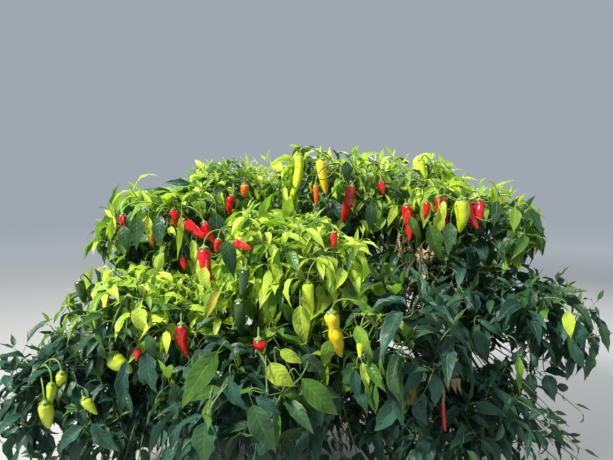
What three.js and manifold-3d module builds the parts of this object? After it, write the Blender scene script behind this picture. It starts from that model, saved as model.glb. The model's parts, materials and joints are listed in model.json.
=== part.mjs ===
// A chilli pepper plant: a short main stem that forks into five boughs and then into seventeen limbs, each of
// which carries its own mass of foliage. A mass is one stem with twigs, pointed leaves and hanging pods fused
// to it. Millimetres, +Z up. The front of the plant faces -Y. The origin is the middle of the flat cut under
// the main stem, at soil level.
import * as THREE from "three";
import { mergeVertices } from "three/addons/utils/BufferGeometryUtils.js";
import Module from "manifold-3d";

const wasm = await Module();
wasm.setup();

// Driving dimensions. Places in the crown are shares of its half width, its half depth and its height.
const CROWN = new THREE.Vector3(680, 510, 910);
const UP = new THREE.Vector3(0, 0, 1);

// The main stem flares at the soil, leans a little and ends at the fork.
const FORK = [0.02, -0.015, 0.225];
const STEM_RADIUS = { flare: 21, foot: 13.5, fork: 11 };
const FLARE_HEIGHT = 38;

// Boughs rise from the fork. Limbs grow from the tips of the boughs, and the stem inside a mass goes on from its
// limb.
const BOUGH_RADIUS = { start: 8.2, end: 6.2 };
const LIMB_RADIUS = { start: 5.8, end: 4.6 };
const INNER_RADIUS = { start: 4.5, end: 3.3 };
const INNER_STEPS = 3;
const BOUGHS = {
  left: [-0.36, -0.1, 0.46],
  front: [-0.06, -0.4, 0.42],
  right: [0.38, -0.08, 0.45],
  back: [0.02, 0.4, 0.44],
  top: [0.02, 0.06, 0.62],
};

// Masses of foliage: the bough that each grows from, its middle and its half sizes, as shares of the crown, and
// how far its leaves hang, from 0 for level to 1 for straight down. Its pods have their place across and up from
// the middle, in shares of the half sizes, then a length and a greatest radius in millimetres. They hang on the
// side that faces the front, or on the far side of a mass that faces the back.
const MASSES = {
  crown_top: {
    bough: "top", middle: [0.09, 0.1, 0.845], size: [0.34, 0.4, 0.155], droop: 0.3,
    pods: [[-0.34, 0.71, 132, 12], [-0.11, 0.6, 84, 13], [-0.2, 0.15, 58, 8], [0.21, 0.12, 90, 13]],
  },
  crown_left: {
    bough: "top", middle: [-0.34, 0.2, 0.83], size: [0.26, 0.4, 0.13], droop: 0.3,
    pods: [[0.1, 0.45, 44, 9]],
  },
  crown_right: {
    bough: "top", middle: [0.46, 0.26, 0.85], size: [0.27, 0.4, 0.13], droop: 0.3,
    pods: [[0, 0.75, 52, 9]],
  },
  left_shoulder: {
    bough: "left", middle: [-0.52, 0, 0.735], size: [0.3, 0.37, 0.145], droop: 0.7,
    pods: [
      [-0.42, 0.38, 46, 9], [-0.01, 0.17, 54, 10], [0.19, 0.47, 52, 14],
      [0.34, 0.27, 72, 12], [0.56, 0.23, 58, 12],
    ],
  },
  right_shoulder: {
    bough: "right", middle: [0.62, -0.02, 0.755], size: [0.33, 0.37, 0.135], droop: 0.7,
    pods: [
      [-0.72, 0.45, 84, 14], [-0.56, 0.49, 48, 9], [-0.42, 0.61, 90, 15],
      [-0.23, 0.57, 76, 15], [-0.06, 0.53, 54, 13],
    ],
  },
  front_upper: {
    bough: "top", middle: [-0.06, -0.46, 0.68], size: [0.3, 0.33, 0.14], droop: 0.35,
    pods: [[-0.79, 0.29, 72, 13], [0.21, -0.17, 62, 11], [-0.34, 0.02, 54, 11], [0.46, 0.54, 44, 9]],
  },
  left_flank: {
    bough: "left", middle: [-0.5, -0.47, 0.555], size: [0.27, 0.33, 0.135], droop: 0.35,
    pods: [[0.5, 0.25, 66, 11], [-0.15, -0.25, 52, 15]],
  },
  lower_left: {
    bough: "left", middle: [-0.72, -0.42, 0.375], size: [0.28, 0.36, 0.15], droop: 0.4,
    pods: [[-0.05, 0.18, 60, 14], [0.1, 0.45, 50, 11], [0.34, 0.2, 46, 12]],
  },
  front_low: {
    bough: "front", middle: [-0.17, -0.7, 0.425], size: [0.26, 0.3, 0.16], droop: 0.5,
    pods: [[0.18, 0.8, 44, 9]],
  },
  front_right: {
    bough: "front", middle: [0.24, -0.6, 0.52], size: [0.25, 0.3, 0.15], droop: 0.4,
    pods: [[-0.62, 0.45, 92, 14], [-0.36, 0.34, 50, 8]],
  },
  right_flank: {
    bough: "right", middle: [0.77, -0.18, 0.51], size: [0.28, 0.36, 0.155], droop: 0.4,
    pods: [[0.3, 0.1, 66, 11]],
  },
  lower_right: {
    bough: "right", middle: [0.42, -0.5, 0.32], size: [0.3, 0.32, 0.135], droop: 0.4,
    pods: [[-0.12, 0.5, 48, 6]],
  },
  inner_right: {
    bough: "right", middle: [0.42, -0.1, 0.59], size: [0.26, 0.36, 0.125], droop: 0.45,
  },
  back_left: {
    bough: "back", middle: [-0.54, 0.52, 0.55], size: [0.34, 0.45, 0.17], droop: 0.35, facing: 1,
    pods: [[-0.4, 0.2, 80, 13], [0.2, 0.1, 66, 15], [0.3, -0.4, 70, 12]],
  },
  back_top: {
    bough: "back", middle: [0.06, 0.62, 0.69], size: [0.34, 0.38, 0.16], droop: 0.35, facing: 1,
    pods: [[-0.3, 0.2, 90, 13], [0.4, 0.1, 84, 13]],
  },
  back_right: {
    bough: "back", middle: [0.62, 0.52, 0.53], size: [0.34, 0.45, 0.17], droop: 0.35, facing: 1,
    pods: [[0.4, 0.2, 84, 14], [-0.1, -0.2, 64, 12]],
  },
  back_low: {
    bough: "back", middle: [0.03, 0.66, 0.38], size: [0.4, 0.34, 0.16], droop: 0.4, facing: 1,
    pods: [[-0.4, 0.1, 62, 14], [0.4, 0, 56, 9]],
  },
};

// Twigs and leaves.
const TWIGS_IN_MASS = 6;
const LEAVES_ON_TWIG = 4;
const LEAF_TRIES = 14;
const TWIG_RADIUS = { start: 2.5, end: 2 };
const TWIG_STEPS = 2;
const TWIG_REACH = 0.76;
const LEAF_LENGTH = { least: 122, most: 172 };
const LEAF_WIDTH_SHARE = 0.5;
const LEAF_THICKNESS = 2.8;
const WIDEST_AT = 0.42;
const TIP_DROP = 0.16;
const LEAF_ROOT_SIZE = 0.5;
const LEAF_SUNK = 0.6;
const STALK_FREE = 9;
const GOLDEN_ANGLE = Math.PI * (3 - Math.sqrt(5));

// Pods hang from a stalk that hooks over at the end of a twig. The profile gives shares of a pod's greatest
// radius and of its length.
const POD_PROFILE = [[0, -1], [0.6, -0.66], [1, -0.2], [0.72, 0], [0, 0]];
const POD_BEND = 0.12;
const POD_DEPTH = 0.86;
const POD_TWIG_STEPS = 4;
const STALK_HOOK = 34;
const STALK_SUNK = 5;

// Space between two solids, and the room that a twig or a leaf leaves round a limb and inside its own space.
const GAP = 0.3;
const ROOM = 1.2;
const LEAF_REACH = 1.14;
// Masses are flatter than they are wide, so heights count for more where the planes between two masses are set.
const FLATNESS = 1.5;

const SEED = 4310;
const stemMaterial = new THREE.MeshStandardMaterial({ color: 0x7d7a4a, roughness: 0.75, metalness: 0 });
const limbMaterial = new THREE.MeshStandardMaterial({ color: 0x6f8a3c, roughness: 0.6, metalness: 0 });
const leafMaterial = new THREE.MeshStandardMaterial({ color: 0x4f8a2c, roughness: 0.45, metalness: 0 });

/** The same run of numbers from 0 to 1 each time, from one whole number. */
function seeded(seed) {
  let state = seed >>> 0;
  return () => {
    state = (state + 0x6d2b79f5) >>> 0;
    let mixed = Math.imul(state ^ (state >>> 15), state | 1);
    mixed ^= mixed + Math.imul(mixed ^ (mixed >>> 7), mixed | 61);
    return ((mixed ^ (mixed >>> 14)) >>> 0) / 4294967296;
  };
}

/** A place in the crown, in millimetres. */
const placed = (shares) => new THREE.Vector3(...shares).multiply(CROWN);

/** a, moved by the share of the way to b. */
const between = (a, b, share) => new THREE.Vector3().lerpVectors(a, b, share);

/** A point raised by a height. */
const raised = (point, height) => point.clone().addScaledVector(UP, height);

/** A radius function that runs evenly from start to end. */
const tapering = ({ start, end }) => (share) => start + (end - start) * share;

/** The solid of a closed geometry. */
function solidOf(geometry) {
  geometry.deleteAttribute("normal");
  geometry.deleteAttribute("uv");
  const merged = mergeVertices(geometry, 1e-4);
  return new wasm.Manifold(
    new wasm.Mesh({
      numProp: 3,
      vertProperties: new Float32Array(merged.getAttribute("position").array),
      triVerts: new Uint32Array(merged.index.array),
    }),
  );
}

/** The largest body of a solid, without loose scraps or sealed hollows. */
function mainBody(solid) {
  const larger = (one, other) => (other.volume() > one.volume() ? other : one);
  const body = solid.decompose().reduce(larger);
  return solidOf(geometryOf(body)).decompose().reduce(larger);
}

/** The geometry of a solid's surface. */
function geometryOf(solid) {
  const { vertProperties, triVerts } = solid.getMesh();
  const geometry = new THREE.BufferGeometry();
  geometry.setAttribute("position", new THREE.BufferAttribute(vertProperties, 3));
  geometry.setIndex(new THREE.BufferAttribute(triVerts, 1));
  return geometry;
}

/** The named mesh of a solid. */
function meshOf(solid, name, material) {
  const mesh = new THREE.Mesh(geometryOf(solid), material);
  mesh.geometry.computeVertexNormals();
  mesh.name = name;
  return mesh;
}

/** Places along a curve, each with two directions square to it that don't twist on the way. */
function framesAlong(curve, steps) {
  const frames = [];
  let across = new THREE.Vector3(1, 0, 0);
  for (let i = 0; i <= steps; i++) {
    const tangent = curve.getTangent(i / steps);
    across = across.clone().addScaledVector(tangent, -across.dot(tangent));
    if (across.length() < 0.1) across.crossVectors(tangent, new THREE.Vector3(0, 1, 0));
    across.normalize();
    frames.push({ middle: curve.getPoint(i / steps), tangent, across, over: across.clone().cross(tangent) });
  }
  return frames;
}

/** The point at a share of the straight steps that a limb bent along the curve is made of. */
function onSteps(curve, steps, share) {
  const step = Math.min(Math.floor(share * steps), steps - 1);
  return between(curve.getPoint(step / steps), curve.getPoint((step + 1) / steps), share * steps - step);
}

/** A limb bent along a curve, with its radius at each share of its length, and grown all round by a margin. */
function limbSolid(curve, radiusAt, sides, steps, grow = 0) {
  const geometry = new THREE.CylinderGeometry(1, 1, 1, sides, steps);
  const frames = framesAlong(curve, steps);
  const position = geometry.getAttribute("position");
  for (let i = 0; i < position.count; i++) {
    const step = Math.round((position.getY(i) + 0.5) * steps);
    const { middle, tangent, across, over } = frames[step];
    const radius = radiusAt(step / steps) + grow;
    const point = middle.clone().addScaledVector(across, position.getX(i) * radius);
    point.addScaledVector(over, position.getZ(i) * radius);
    if (step === 0) point.addScaledVector(tangent, -grow);
    if (step === steps) point.addScaledVector(tangent, grow);
    position.setXYZ(i, point.x, point.y, point.z);
  }
  return solidOf(geometry);
}

/** The corners of a geometry. */
function cornersOf(geometry) {
  const position = geometry.getAttribute("position");
  const corner = (_, i) => new THREE.Vector3().fromBufferAttribute(position, i);
  return Array.from({ length: position.count }, corner);
}

/** A leaf: narrow at its root, widest a little before its middle, with a raised rib and a lowered tip. */
function leafSolid(root, along, upper, length) {
  const side = new THREE.Vector3().crossVectors(along, upper).normalize();
  const outline = [[0, 0], [1, 0], [1, WIDEST_AT], [0, 1]].map(([x, y]) => new THREE.Vector2(x, y));
  const geometry = new THREE.LatheGeometry(outline, 3);
  const position = geometry.getAttribute("position");
  for (let i = 0; i < position.count; i++) {
    const share = position.getY(i);
    const swell = Math.min(share / WIDEST_AT, 1);
    const halfWidth = LEAF_ROOT_SIZE + ((length * LEAF_WIDTH_SHARE) / 2 - LEAF_ROOT_SIZE) * swell;
    const thickness = LEAF_ROOT_SIZE + (LEAF_THICKNESS - LEAF_ROOT_SIZE) * swell;
    const drop = Math.max(0, share - WIDEST_AT) * TIP_DROP * length;
    const point = root.clone().addScaledVector(along, share * length);
    point.addScaledVector(side, (position.getX(i) / Math.sin(Math.PI / 3)) * halfWidth);
    point.addScaledVector(upper, position.getZ(i) * thickness - drop);
    position.setXYZ(i, point.x, point.y, point.z);
  }
  const corners = cornersOf(geometry);
  return { solid: solidOf(geometry), corners };
}

/** A pod that hangs from the point top: broad shoulders, then a long taper that bends towards lean. */
function podSolid(top, length, radius, lean) {
  const points = POD_PROFILE.map(([share, height]) => new THREE.Vector2(share * radius, height * length));
  const geometry = new THREE.LatheGeometry(points, 5);
  const position = geometry.getAttribute("position");
  for (let i = 0; i < position.count; i++) {
    const height = position.getY(i);
    const point = raised(top, height).addScaledVector(lean, (POD_BEND * height * height) / length);
    position.setXYZ(i, point.x + position.getX(i), point.y - position.getZ(i), point.z);
  }
  const corners = cornersOf(geometry);
  return { solid: solidOf(geometry), corners };
}

/** A mass with its places in millimetres. */
function measured([name, { bough, middle, size, droop, pods = [], facing = -1 }], index) {
  const half = placed(size);
  const spread = (half.x + half.y + half.z * FLATNESS) / 3;
  const random = seeded(SEED + index);
  return { name, bough, middle: placed(middle), half, spread, droop, pods, facing, random };
}

/** How far out a point is in a mass, with 1 at the mass's outer surface. */
function reachIn(mass, point) {
  return point.clone().sub(mass.middle).divide(mass.half).length();
}

/** Whether a point keeps to a mass's side of the plane between it and each neighbour, by a margin. */
function onOwnSide(mass, point, margin) {
  const weight = (other) => {
    const apart = point.clone().sub(other.middle);
    apart.z *= FLATNESS;
    return apart.lengthSq() - other.spread * other.spread;
  };
  const own = weight(mass);
  return masses.every((other) => {
    if (other === mass) return true;
    const between = other.middle.clone().sub(mass.middle);
    between.z *= FLATNESS;
    return weight(other) - own > 2 * between.length() * margin * FLATNESS;
  });
}

/** Whether all points are inside a mass's own space. */
const fits = (mass, points) =>
  points.every((point) => reachIn(mass, point) < LEAF_REACH && onOwnSide(mass, point, ROOM));

/** The curve of a bough, which rises before it spreads. */
function boughCurve(name) {
  const fork = placed(FORK);
  const tip = placed(BOUGHS[name]);
  const bend = fork.clone().add(tip.clone().sub(fork).multiply(new THREE.Vector3(0.35, 0.35, 0.6)));
  return new THREE.QuadraticBezierCurve3(raised(fork, -12), bend, tip);
}

/** The curve of the limb from its bough's tip to the edge of its mass, in an upward arch. */
function limbCurve(mass) {
  const start = placed(BOUGHS[mass.bough]);
  const inward = start.clone().sub(mass.middle);
  let share = Math.min(1, 0.7 / reachIn(mass, start));
  const entry = () => mass.middle.clone().addScaledVector(inward, share);
  while (!onOwnSide(mass, entry(), 8)) share *= 0.95;
  const end = entry();
  const bend = raised(between(start, end, 0.5), 0.14 * start.distanceTo(end));
  return new THREE.QuadraticBezierCurve3(start, bend, end);
}

/** The curve of the stem inside a mass, which goes on from its limb's tip. */
function innerCurve(mass, limb) {
  const start = limb.getPoint(1);
  const end = raised(between(start, mass.middle, 1.3), 0.2 * mass.half.z);
  const bend = start.clone().addScaledVector(limb.getTangent(1), 0.45 * start.distanceTo(end));
  return new THREE.QuadraticBezierCurve3(start, bend, end);
}

/** Directions spread evenly over a ball, from its top to near its bottom. */
function spreadDirections(count, turn) {
  return Array.from({ length: count }, (_, i) => {
    const height = 0.92 - (1.6 * i) / (count - 1);
    const level = Math.sqrt(1 - height * height);
    const angle = turn + i * GOLDEN_ANGLE;
    return new THREE.Vector3(level * Math.cos(angle), level * Math.sin(angle), height);
  });
}

/** The twigs of a mass: curves from its inner stem towards points spread evenly over its surface. */
function twigCurves(mass, inner) {
  return spreadDirections(TWIGS_IN_MASS, mass.random() * Math.PI).map((direction, i) => {
    const start = onSteps(inner, INNER_STEPS, 0.95 - (0.8 * i) / TWIGS_IN_MASS);
    const reach = TWIG_REACH * (0.88 + 0.24 * mass.random());
    const end = mass.middle.clone().add(direction.multiply(mass.half).multiplyScalar(reach));
    const bend = raised(between(start, end, 0.45), 0.16 * start.distanceTo(end));
    return new THREE.QuadraticBezierCurve3(start, bend, end);
  });
}

/** The heading and the upper side of a leaf, turned by an angle about the way out of the mass, then lowered. */
function leafPose(mass, root, angle) {
  const out = root.clone().sub(mass.middle).divide(mass.half).divide(mass.half).normalize();
  const level = new THREE.Vector3().crossVectors(out, UP).normalize();
  const over = new THREE.Vector3().crossVectors(level, out);
  const along = level.clone().multiplyScalar(Math.cos(angle)).addScaledVector(over, Math.sin(angle));
  along.addScaledVector(out, 0.35).normalize();
  const hang = mass.droop * (0.7 + 0.6 * mass.random()) * (1 - 0.8 * Math.max(0, out.z));
  along.addScaledVector(UP, -hang).normalize();
  const side = new THREE.Vector3().crossVectors(along, out).normalize();
  return { along, upper: new THREE.Vector3().crossVectors(side, along).normalize() };
}

/** The leaf that grows at a place, or nothing where it would leave its space or touch what is there. */
function leafAt(mass, place, angle, length, filled) {
  const { along, upper } = leafPose(mass, place, angle);
  const root = place.clone().addScaledVector(along, -LEAF_SUNK);
  const { solid, corners } = leafSolid(root, along, upper, length);
  if (!fits(mass, corners)) return null;
  const blade = leafSolid(root.addScaledVector(along, STALK_FREE), along, upper, length - STALK_FREE).solid;
  return blade.intersect(filled).isEmpty() ? solid : null;
}

/** The leaves of a twig. At each place on it the leaf takes the first heading that is free. */
function leavesOn(mass, { curve, steps, most }, filled) {
  const leaves = [];
  const turn = mass.random() * 2 * Math.PI;
  for (let i = 0; i < most; i++) {
    const place = onSteps(curve, steps, 0.97 - (0.53 * i) / most);
    for (let tries = 0; tries < LEAF_TRIES; tries++) {
      const shorter = Math.max(mass.random(), tries / LEAF_TRIES);
      const length = LEAF_LENGTH.most - (LEAF_LENGTH.most - LEAF_LENGTH.least) * shorter;
      const angle = turn + (i * LEAF_TRIES + tries) * GOLDEN_ANGLE;
      const leaf = leafAt(mass, place, angle, length, wasm.Manifold.union([filled, ...leaves]));
      if (!leaf) continue;
      leaves.push(leaf);
      break;
    }
  }
  return leaves;
}

/** A pod with the twig that it hangs from, or nothing where it would leave its space or touch a limb. */
function podOnTwig(mass, start, [across, up, length, radius], limbsWithRoom) {
  const depth = mass.facing * POD_DEPTH * Math.sqrt(Math.max(0, 1 - across * across - up * up));
  const top = new THREE.Vector3(across, depth, up).multiply(mass.half).add(mass.middle);
  const hook = [raised(between(start, top, 0.45), STALK_HOOK), raised(top, STALK_HOOK)];
  const curve = new THREE.CubicBezierCurve3(start, ...hook, raised(top, -STALK_SUNK));
  const lean = new THREE.Vector3(mass.random() - 0.5, mass.random() - 0.5, 0).normalize();
  const pod = podSolid(top, length, radius, lean);
  const solid = limbSolid(curve, tapering(TWIG_RADIUS), 3, POD_TWIG_STEPS).add(pod.solid);
  const inside = pod.corners.every((corner) => onOwnSide(mass, corner, ROOM));
  const free = inside && solid.intersect(limbsWithRoom).isEmpty();
  return free ? { curve, solid, steps: POD_TWIG_STEPS, most: 1 } : null;
}

/** A twig along a curve, or nothing where it would leave the mass's space or touch a limb. */
function leafyTwig(mass, curve, limbsWithRoom) {
  const solid = limbSolid(curve, tapering(TWIG_RADIUS), 3, TWIG_STEPS);
  const free = fits(mass, curve.getPoints(TWIG_STEPS)) && solid.intersect(limbsWithRoom).isEmpty();
  return free ? { curve, solid, steps: TWIG_STEPS, most: LEAVES_ON_TWIG } : null;
}

/** One mass of foliage as one solid. */
function foliageSolid(mass, limb, limbs, limbsWithRoom) {
  const inner = innerCurve(mass, limb);
  const leafy = twigCurves(mass, inner).map((curve) => leafyTwig(mass, curve, limbsWithRoom));
  const pods = mass.pods.map((pod, i) => {
    const start = onSteps(inner, INNER_STEPS, 0.25 + (0.65 * (i + 0.5)) / mass.pods.length);
    return podOnTwig(mass, start, pod, limbsWithRoom);
  });
  const twigs = [...leafy, ...pods].filter(Boolean);
  const stem = limbSolid(inner, tapering(INNER_RADIUS), 5, INNER_STEPS);
  let foliage = wasm.Manifold.union([stem, ...twigs.map(({ solid }) => solid)]);
  for (const twig of twigs) {
    const leaves = leavesOn(mass, twig, foliage.add(limbsWithRoom));
    foliage = wasm.Manifold.union([foliage, ...leaves]);
  }
  return mainBody(foliage.subtract(limbs));
}

/** The main stem, with a level cut at the soil, grown all round by a margin. */
function mainStem(grow) {
  const fork = placed(FORK);
  const foot = new THREE.Vector3();
  const curve = new THREE.QuadraticBezierCurve3(foot, raised(foot, fork.z / 2), fork);
  const radiusAt = (share) => {
    const flare = (STEM_RADIUS.flare - STEM_RADIUS.foot) * Math.exp((-share * fork.z) / FLARE_HEIGHT);
    return STEM_RADIUS.foot + (STEM_RADIUS.fork - STEM_RADIUS.foot) * share + flare;
  };
  return limbSolid(curve, radiusAt, 10, 6, grow);
}

const plant = new THREE.Group();
plant.name = "chilli_plant";
const masses = Object.entries(MASSES).map(measured);

// Each limb in turn is cut clear of those before it, so that they meet face to face at their forks.
let limbs = mainStem(GAP);
let limbsWithRoom = mainStem(ROOM);
plant.add(meshOf(mainStem(0), "main_stem", stemMaterial));

/** Adds a limb to the plant and to what later limbs and the foliage keep clear of. */
function addLimb(name, curve, radius, steps) {
  const grown = (margin) => limbSolid(curve, tapering(radius), 6, steps, margin);
  plant.add(meshOf(mainBody(grown(0).subtract(limbs)), name, limbMaterial));
  limbs = limbs.add(grown(GAP));
  limbsWithRoom = limbsWithRoom.add(grown(ROOM));
}

for (const name of Object.keys(BOUGHS)) addLimb("bough_" + name, boughCurve(name), BOUGH_RADIUS, 5);
const limbCurves = new Map(masses.map((mass) => [mass, limbCurve(mass)]));
for (const [mass, curve] of limbCurves) addLimb("limb_" + mass.name, curve, LIMB_RADIUS, 4);

for (const [mass, curve] of limbCurves) {
  const solid = foliageSolid(mass, curve, limbs, limbsWithRoom);
  plant.add(meshOf(solid, "foliage_" + mass.name, leafMaterial));
}

export default plant;
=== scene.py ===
"""The looks of a chilli pepper plant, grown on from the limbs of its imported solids.

Metres, +Z up. The origin is the middle of the cut under the main stem, at soil level, and the front of the
plant faces -Y. Twigs and leaves follow the rule of the solids, carried to finer twigs inside the same masses.
"""

import json
import logging
import math
from dataclasses import dataclass, field
from enum import Enum
from functools import partial
from typing import Callable, Iterable, Sequence

import bpy
import numpy as np
from mathutils import Matrix, Vector, noise

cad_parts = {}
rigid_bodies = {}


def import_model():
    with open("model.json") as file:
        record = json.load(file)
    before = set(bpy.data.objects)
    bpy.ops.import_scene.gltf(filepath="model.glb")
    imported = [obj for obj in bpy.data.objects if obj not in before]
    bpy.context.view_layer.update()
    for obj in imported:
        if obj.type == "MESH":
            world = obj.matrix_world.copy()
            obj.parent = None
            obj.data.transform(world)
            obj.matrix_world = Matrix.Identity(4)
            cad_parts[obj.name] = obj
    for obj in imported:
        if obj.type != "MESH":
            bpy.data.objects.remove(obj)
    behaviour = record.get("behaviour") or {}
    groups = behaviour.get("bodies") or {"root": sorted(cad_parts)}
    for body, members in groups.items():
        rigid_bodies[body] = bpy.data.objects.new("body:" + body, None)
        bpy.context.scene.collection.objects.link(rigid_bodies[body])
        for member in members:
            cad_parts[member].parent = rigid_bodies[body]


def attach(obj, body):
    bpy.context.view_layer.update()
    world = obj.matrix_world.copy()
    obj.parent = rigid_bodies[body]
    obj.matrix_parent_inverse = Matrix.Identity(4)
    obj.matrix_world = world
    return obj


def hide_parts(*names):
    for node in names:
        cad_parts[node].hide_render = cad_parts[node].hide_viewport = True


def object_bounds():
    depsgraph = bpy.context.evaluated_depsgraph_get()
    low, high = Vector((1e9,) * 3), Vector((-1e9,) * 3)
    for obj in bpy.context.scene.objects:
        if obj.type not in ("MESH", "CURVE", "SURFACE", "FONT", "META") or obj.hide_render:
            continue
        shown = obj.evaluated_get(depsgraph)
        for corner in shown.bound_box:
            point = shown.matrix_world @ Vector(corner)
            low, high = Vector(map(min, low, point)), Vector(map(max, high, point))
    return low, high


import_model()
cad_low, cad_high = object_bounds()

LOG = logging.getLogger("chilli_plant")
BODY = "root"
UP = np.array([0.0, 0.0, 1.0])
BACKWARD = np.array([0.0, 1.0, 0.0])
FULL_TURN = 2 * math.pi
GOLDEN_ANGLE = math.pi * (3 - math.sqrt(5))

Array = np.ndarray
Range = tuple[float, float]
Triple = tuple[float, float, float]
Socket = bpy.types.NodeSocket
Mesh = bpy.types.Mesh
Material = bpy.types.Material
Piece = bpy.types.Object

# The crown's half width, half depth and height. Places in it are shares of these.
CROWN = np.array([0.680, 0.510, 0.910])
FORK = (0.02, -0.015, 0.225)
BOUGHS = {
    "left": (-0.36, -0.1, 0.46),
    "front": (-0.06, -0.4, 0.42),
    "right": (0.38, -0.08, 0.45),
    "back": (0.02, 0.4, 0.44),
    "top": (0.02, 0.06, 0.62),
}

# The plant as the photograph frames it.
PHOTO_WIDTH_PX = 613
PHOTO_HEIGHT_PX = 460
FOCAL_PX = 446.0
HORIZON_PX = 205.0
SENSOR_WIDTH_MM = 36.0
CAMERA_PLACE = np.array([0.0, -1.20, 0.74])


def unit(vector: Array) -> Array:
    """The vector with its length made 1."""
    return vector / max(float(np.linalg.norm(vector)), 1e-9)


def distance(start: Array, end: Array) -> float:
    """How far two points are apart."""
    return float(np.linalg.norm(end - start))


def placed(shares: Sequence[float] | Sequence[Triple]) -> Array:
    """A place in the crown in metres, or some, one in each row."""
    return np.array(shares) * CROWN


def raised(point: Array, height: float) -> Array:
    """The point, raised by a height."""
    return point + UP * height


def between(start: Array, end: Array, share: float) -> Array:
    """The point at a share of the way from start to end."""
    return start + (end - start) * share


def around(side: Array, over: Array, angle: float) -> Array:
    """The direction at an angle from side towards over, which are square to each other."""
    return side * math.cos(angle) + over * math.sin(angle)


def into_scene(name: str, data: bpy.types.ID) -> Piece:
    """Puts a mesh, a light or a camera in the scene.

    Args:
        name: the name of its object.
        data: the mesh, the light or the camera.

    Returns:
        The object.
    """
    made = bpy.data.objects.new(name, data)
    bpy.context.scene.collection.objects.link(made)
    return made


class SeededRun:
    """The same run of numbers from 0 to 1 each time, from one whole number."""

    MASK = 0xFFFFFFFF
    STEP = 0x6D2B79F5

    def __init__(self, seed: int) -> None:
        """Starts the run from a whole number."""
        self.state = seed & self.MASK

    def __call__(self) -> float:
        """Goes one step on.

        Returns:
            The next number of the run.
        """
        self.state = (self.state + self.STEP) & self.MASK
        mixed = ((self.state ^ (self.state >> 15)) * (self.state | 1)) & self.MASK
        mixed ^= (mixed + (mixed ^ (mixed >> 7)) * (mixed | 61)) & self.MASK
        return (mixed ^ (mixed >> 14)) / (self.MASK + 1)

    def within(self, low: float, high: float) -> float:
        """The next number, spread over low to high."""
        return low + (high - low) * self()

    def pick(self, count: int) -> int:
        """A whole number from 0 to count - 1."""
        return min(int(self() * count), count - 1)


@dataclass(frozen=True)
class Curve:
    """A Bezier curve of any degree, given by its control points."""

    controls: tuple[Array, ...]

    @staticmethod
    def arched(start: Array, end: Array, share: float, rise: float) -> "Curve":
        """A curve that bends over a share of the straight way, at a rise above it."""
        return Curve((start, raised(between(start, end, share), rise), end))

    @staticmethod
    def hooked(start: Array, end: Array, heading: Array, hook: float) -> "Curve":
        """The line of a twig that rises, hooks over by a length and ends in a given heading."""
        return Curve((start, raised(between(start, end, 0.45), hook), end - heading * hook + UP * 0.004, end))

    def point(self, share: float) -> Array:
        """Goes along the curve.

        Args:
            share: the share of the curve.

        Returns:
            The point there.
        """
        points = list(self.controls)
        while len(points) > 1:
            points = [between(a, b, share) for a, b in zip(points, points[1:])]
        return points[0]

    def tangent(self, share: float) -> Array:
        """The heading at a share of the curve."""
        steps = tuple(b - a for a, b in zip(self.controls, self.controls[1:]))
        return unit(Curve(steps).point(share))

    def length(self) -> float:
        """The chord's length, which is near that of these gentle curves."""
        return distance(self.controls[0], self.controls[-1])

    def on_steps(self, steps: int, share: float) -> Array:
        """The point at a share of the straight steps that the solid is made of."""
        step = min(int(share * steps), steps - 1)
        return between(self.point(step / steps), self.point((step + 1) / steps), share * steps - step)


def buds_on(curves: Iterable[Curve], shares: Sequence[float]) -> list[Array]:
    """The points at each of the shares of each curve."""
    return [curve.point(share) for curve in curves for share in shares]


@dataclass(frozen=True)
class MassPlan:
    """A mass of foliage, with its place and half sizes as shares of the crown.

    Droop is the share of its grown leaves that hang, and leaf the range of their blades' lengths in metres.
    Sun is the light on its middle from 0 to 1, which grows to the right and upwards as slope says.
    """

    bough: str
    middle: Triple
    size: Triple
    droop: float
    leaf: Range
    twigs: int
    sun: float
    slope: Range
    facing: int = -1


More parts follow.
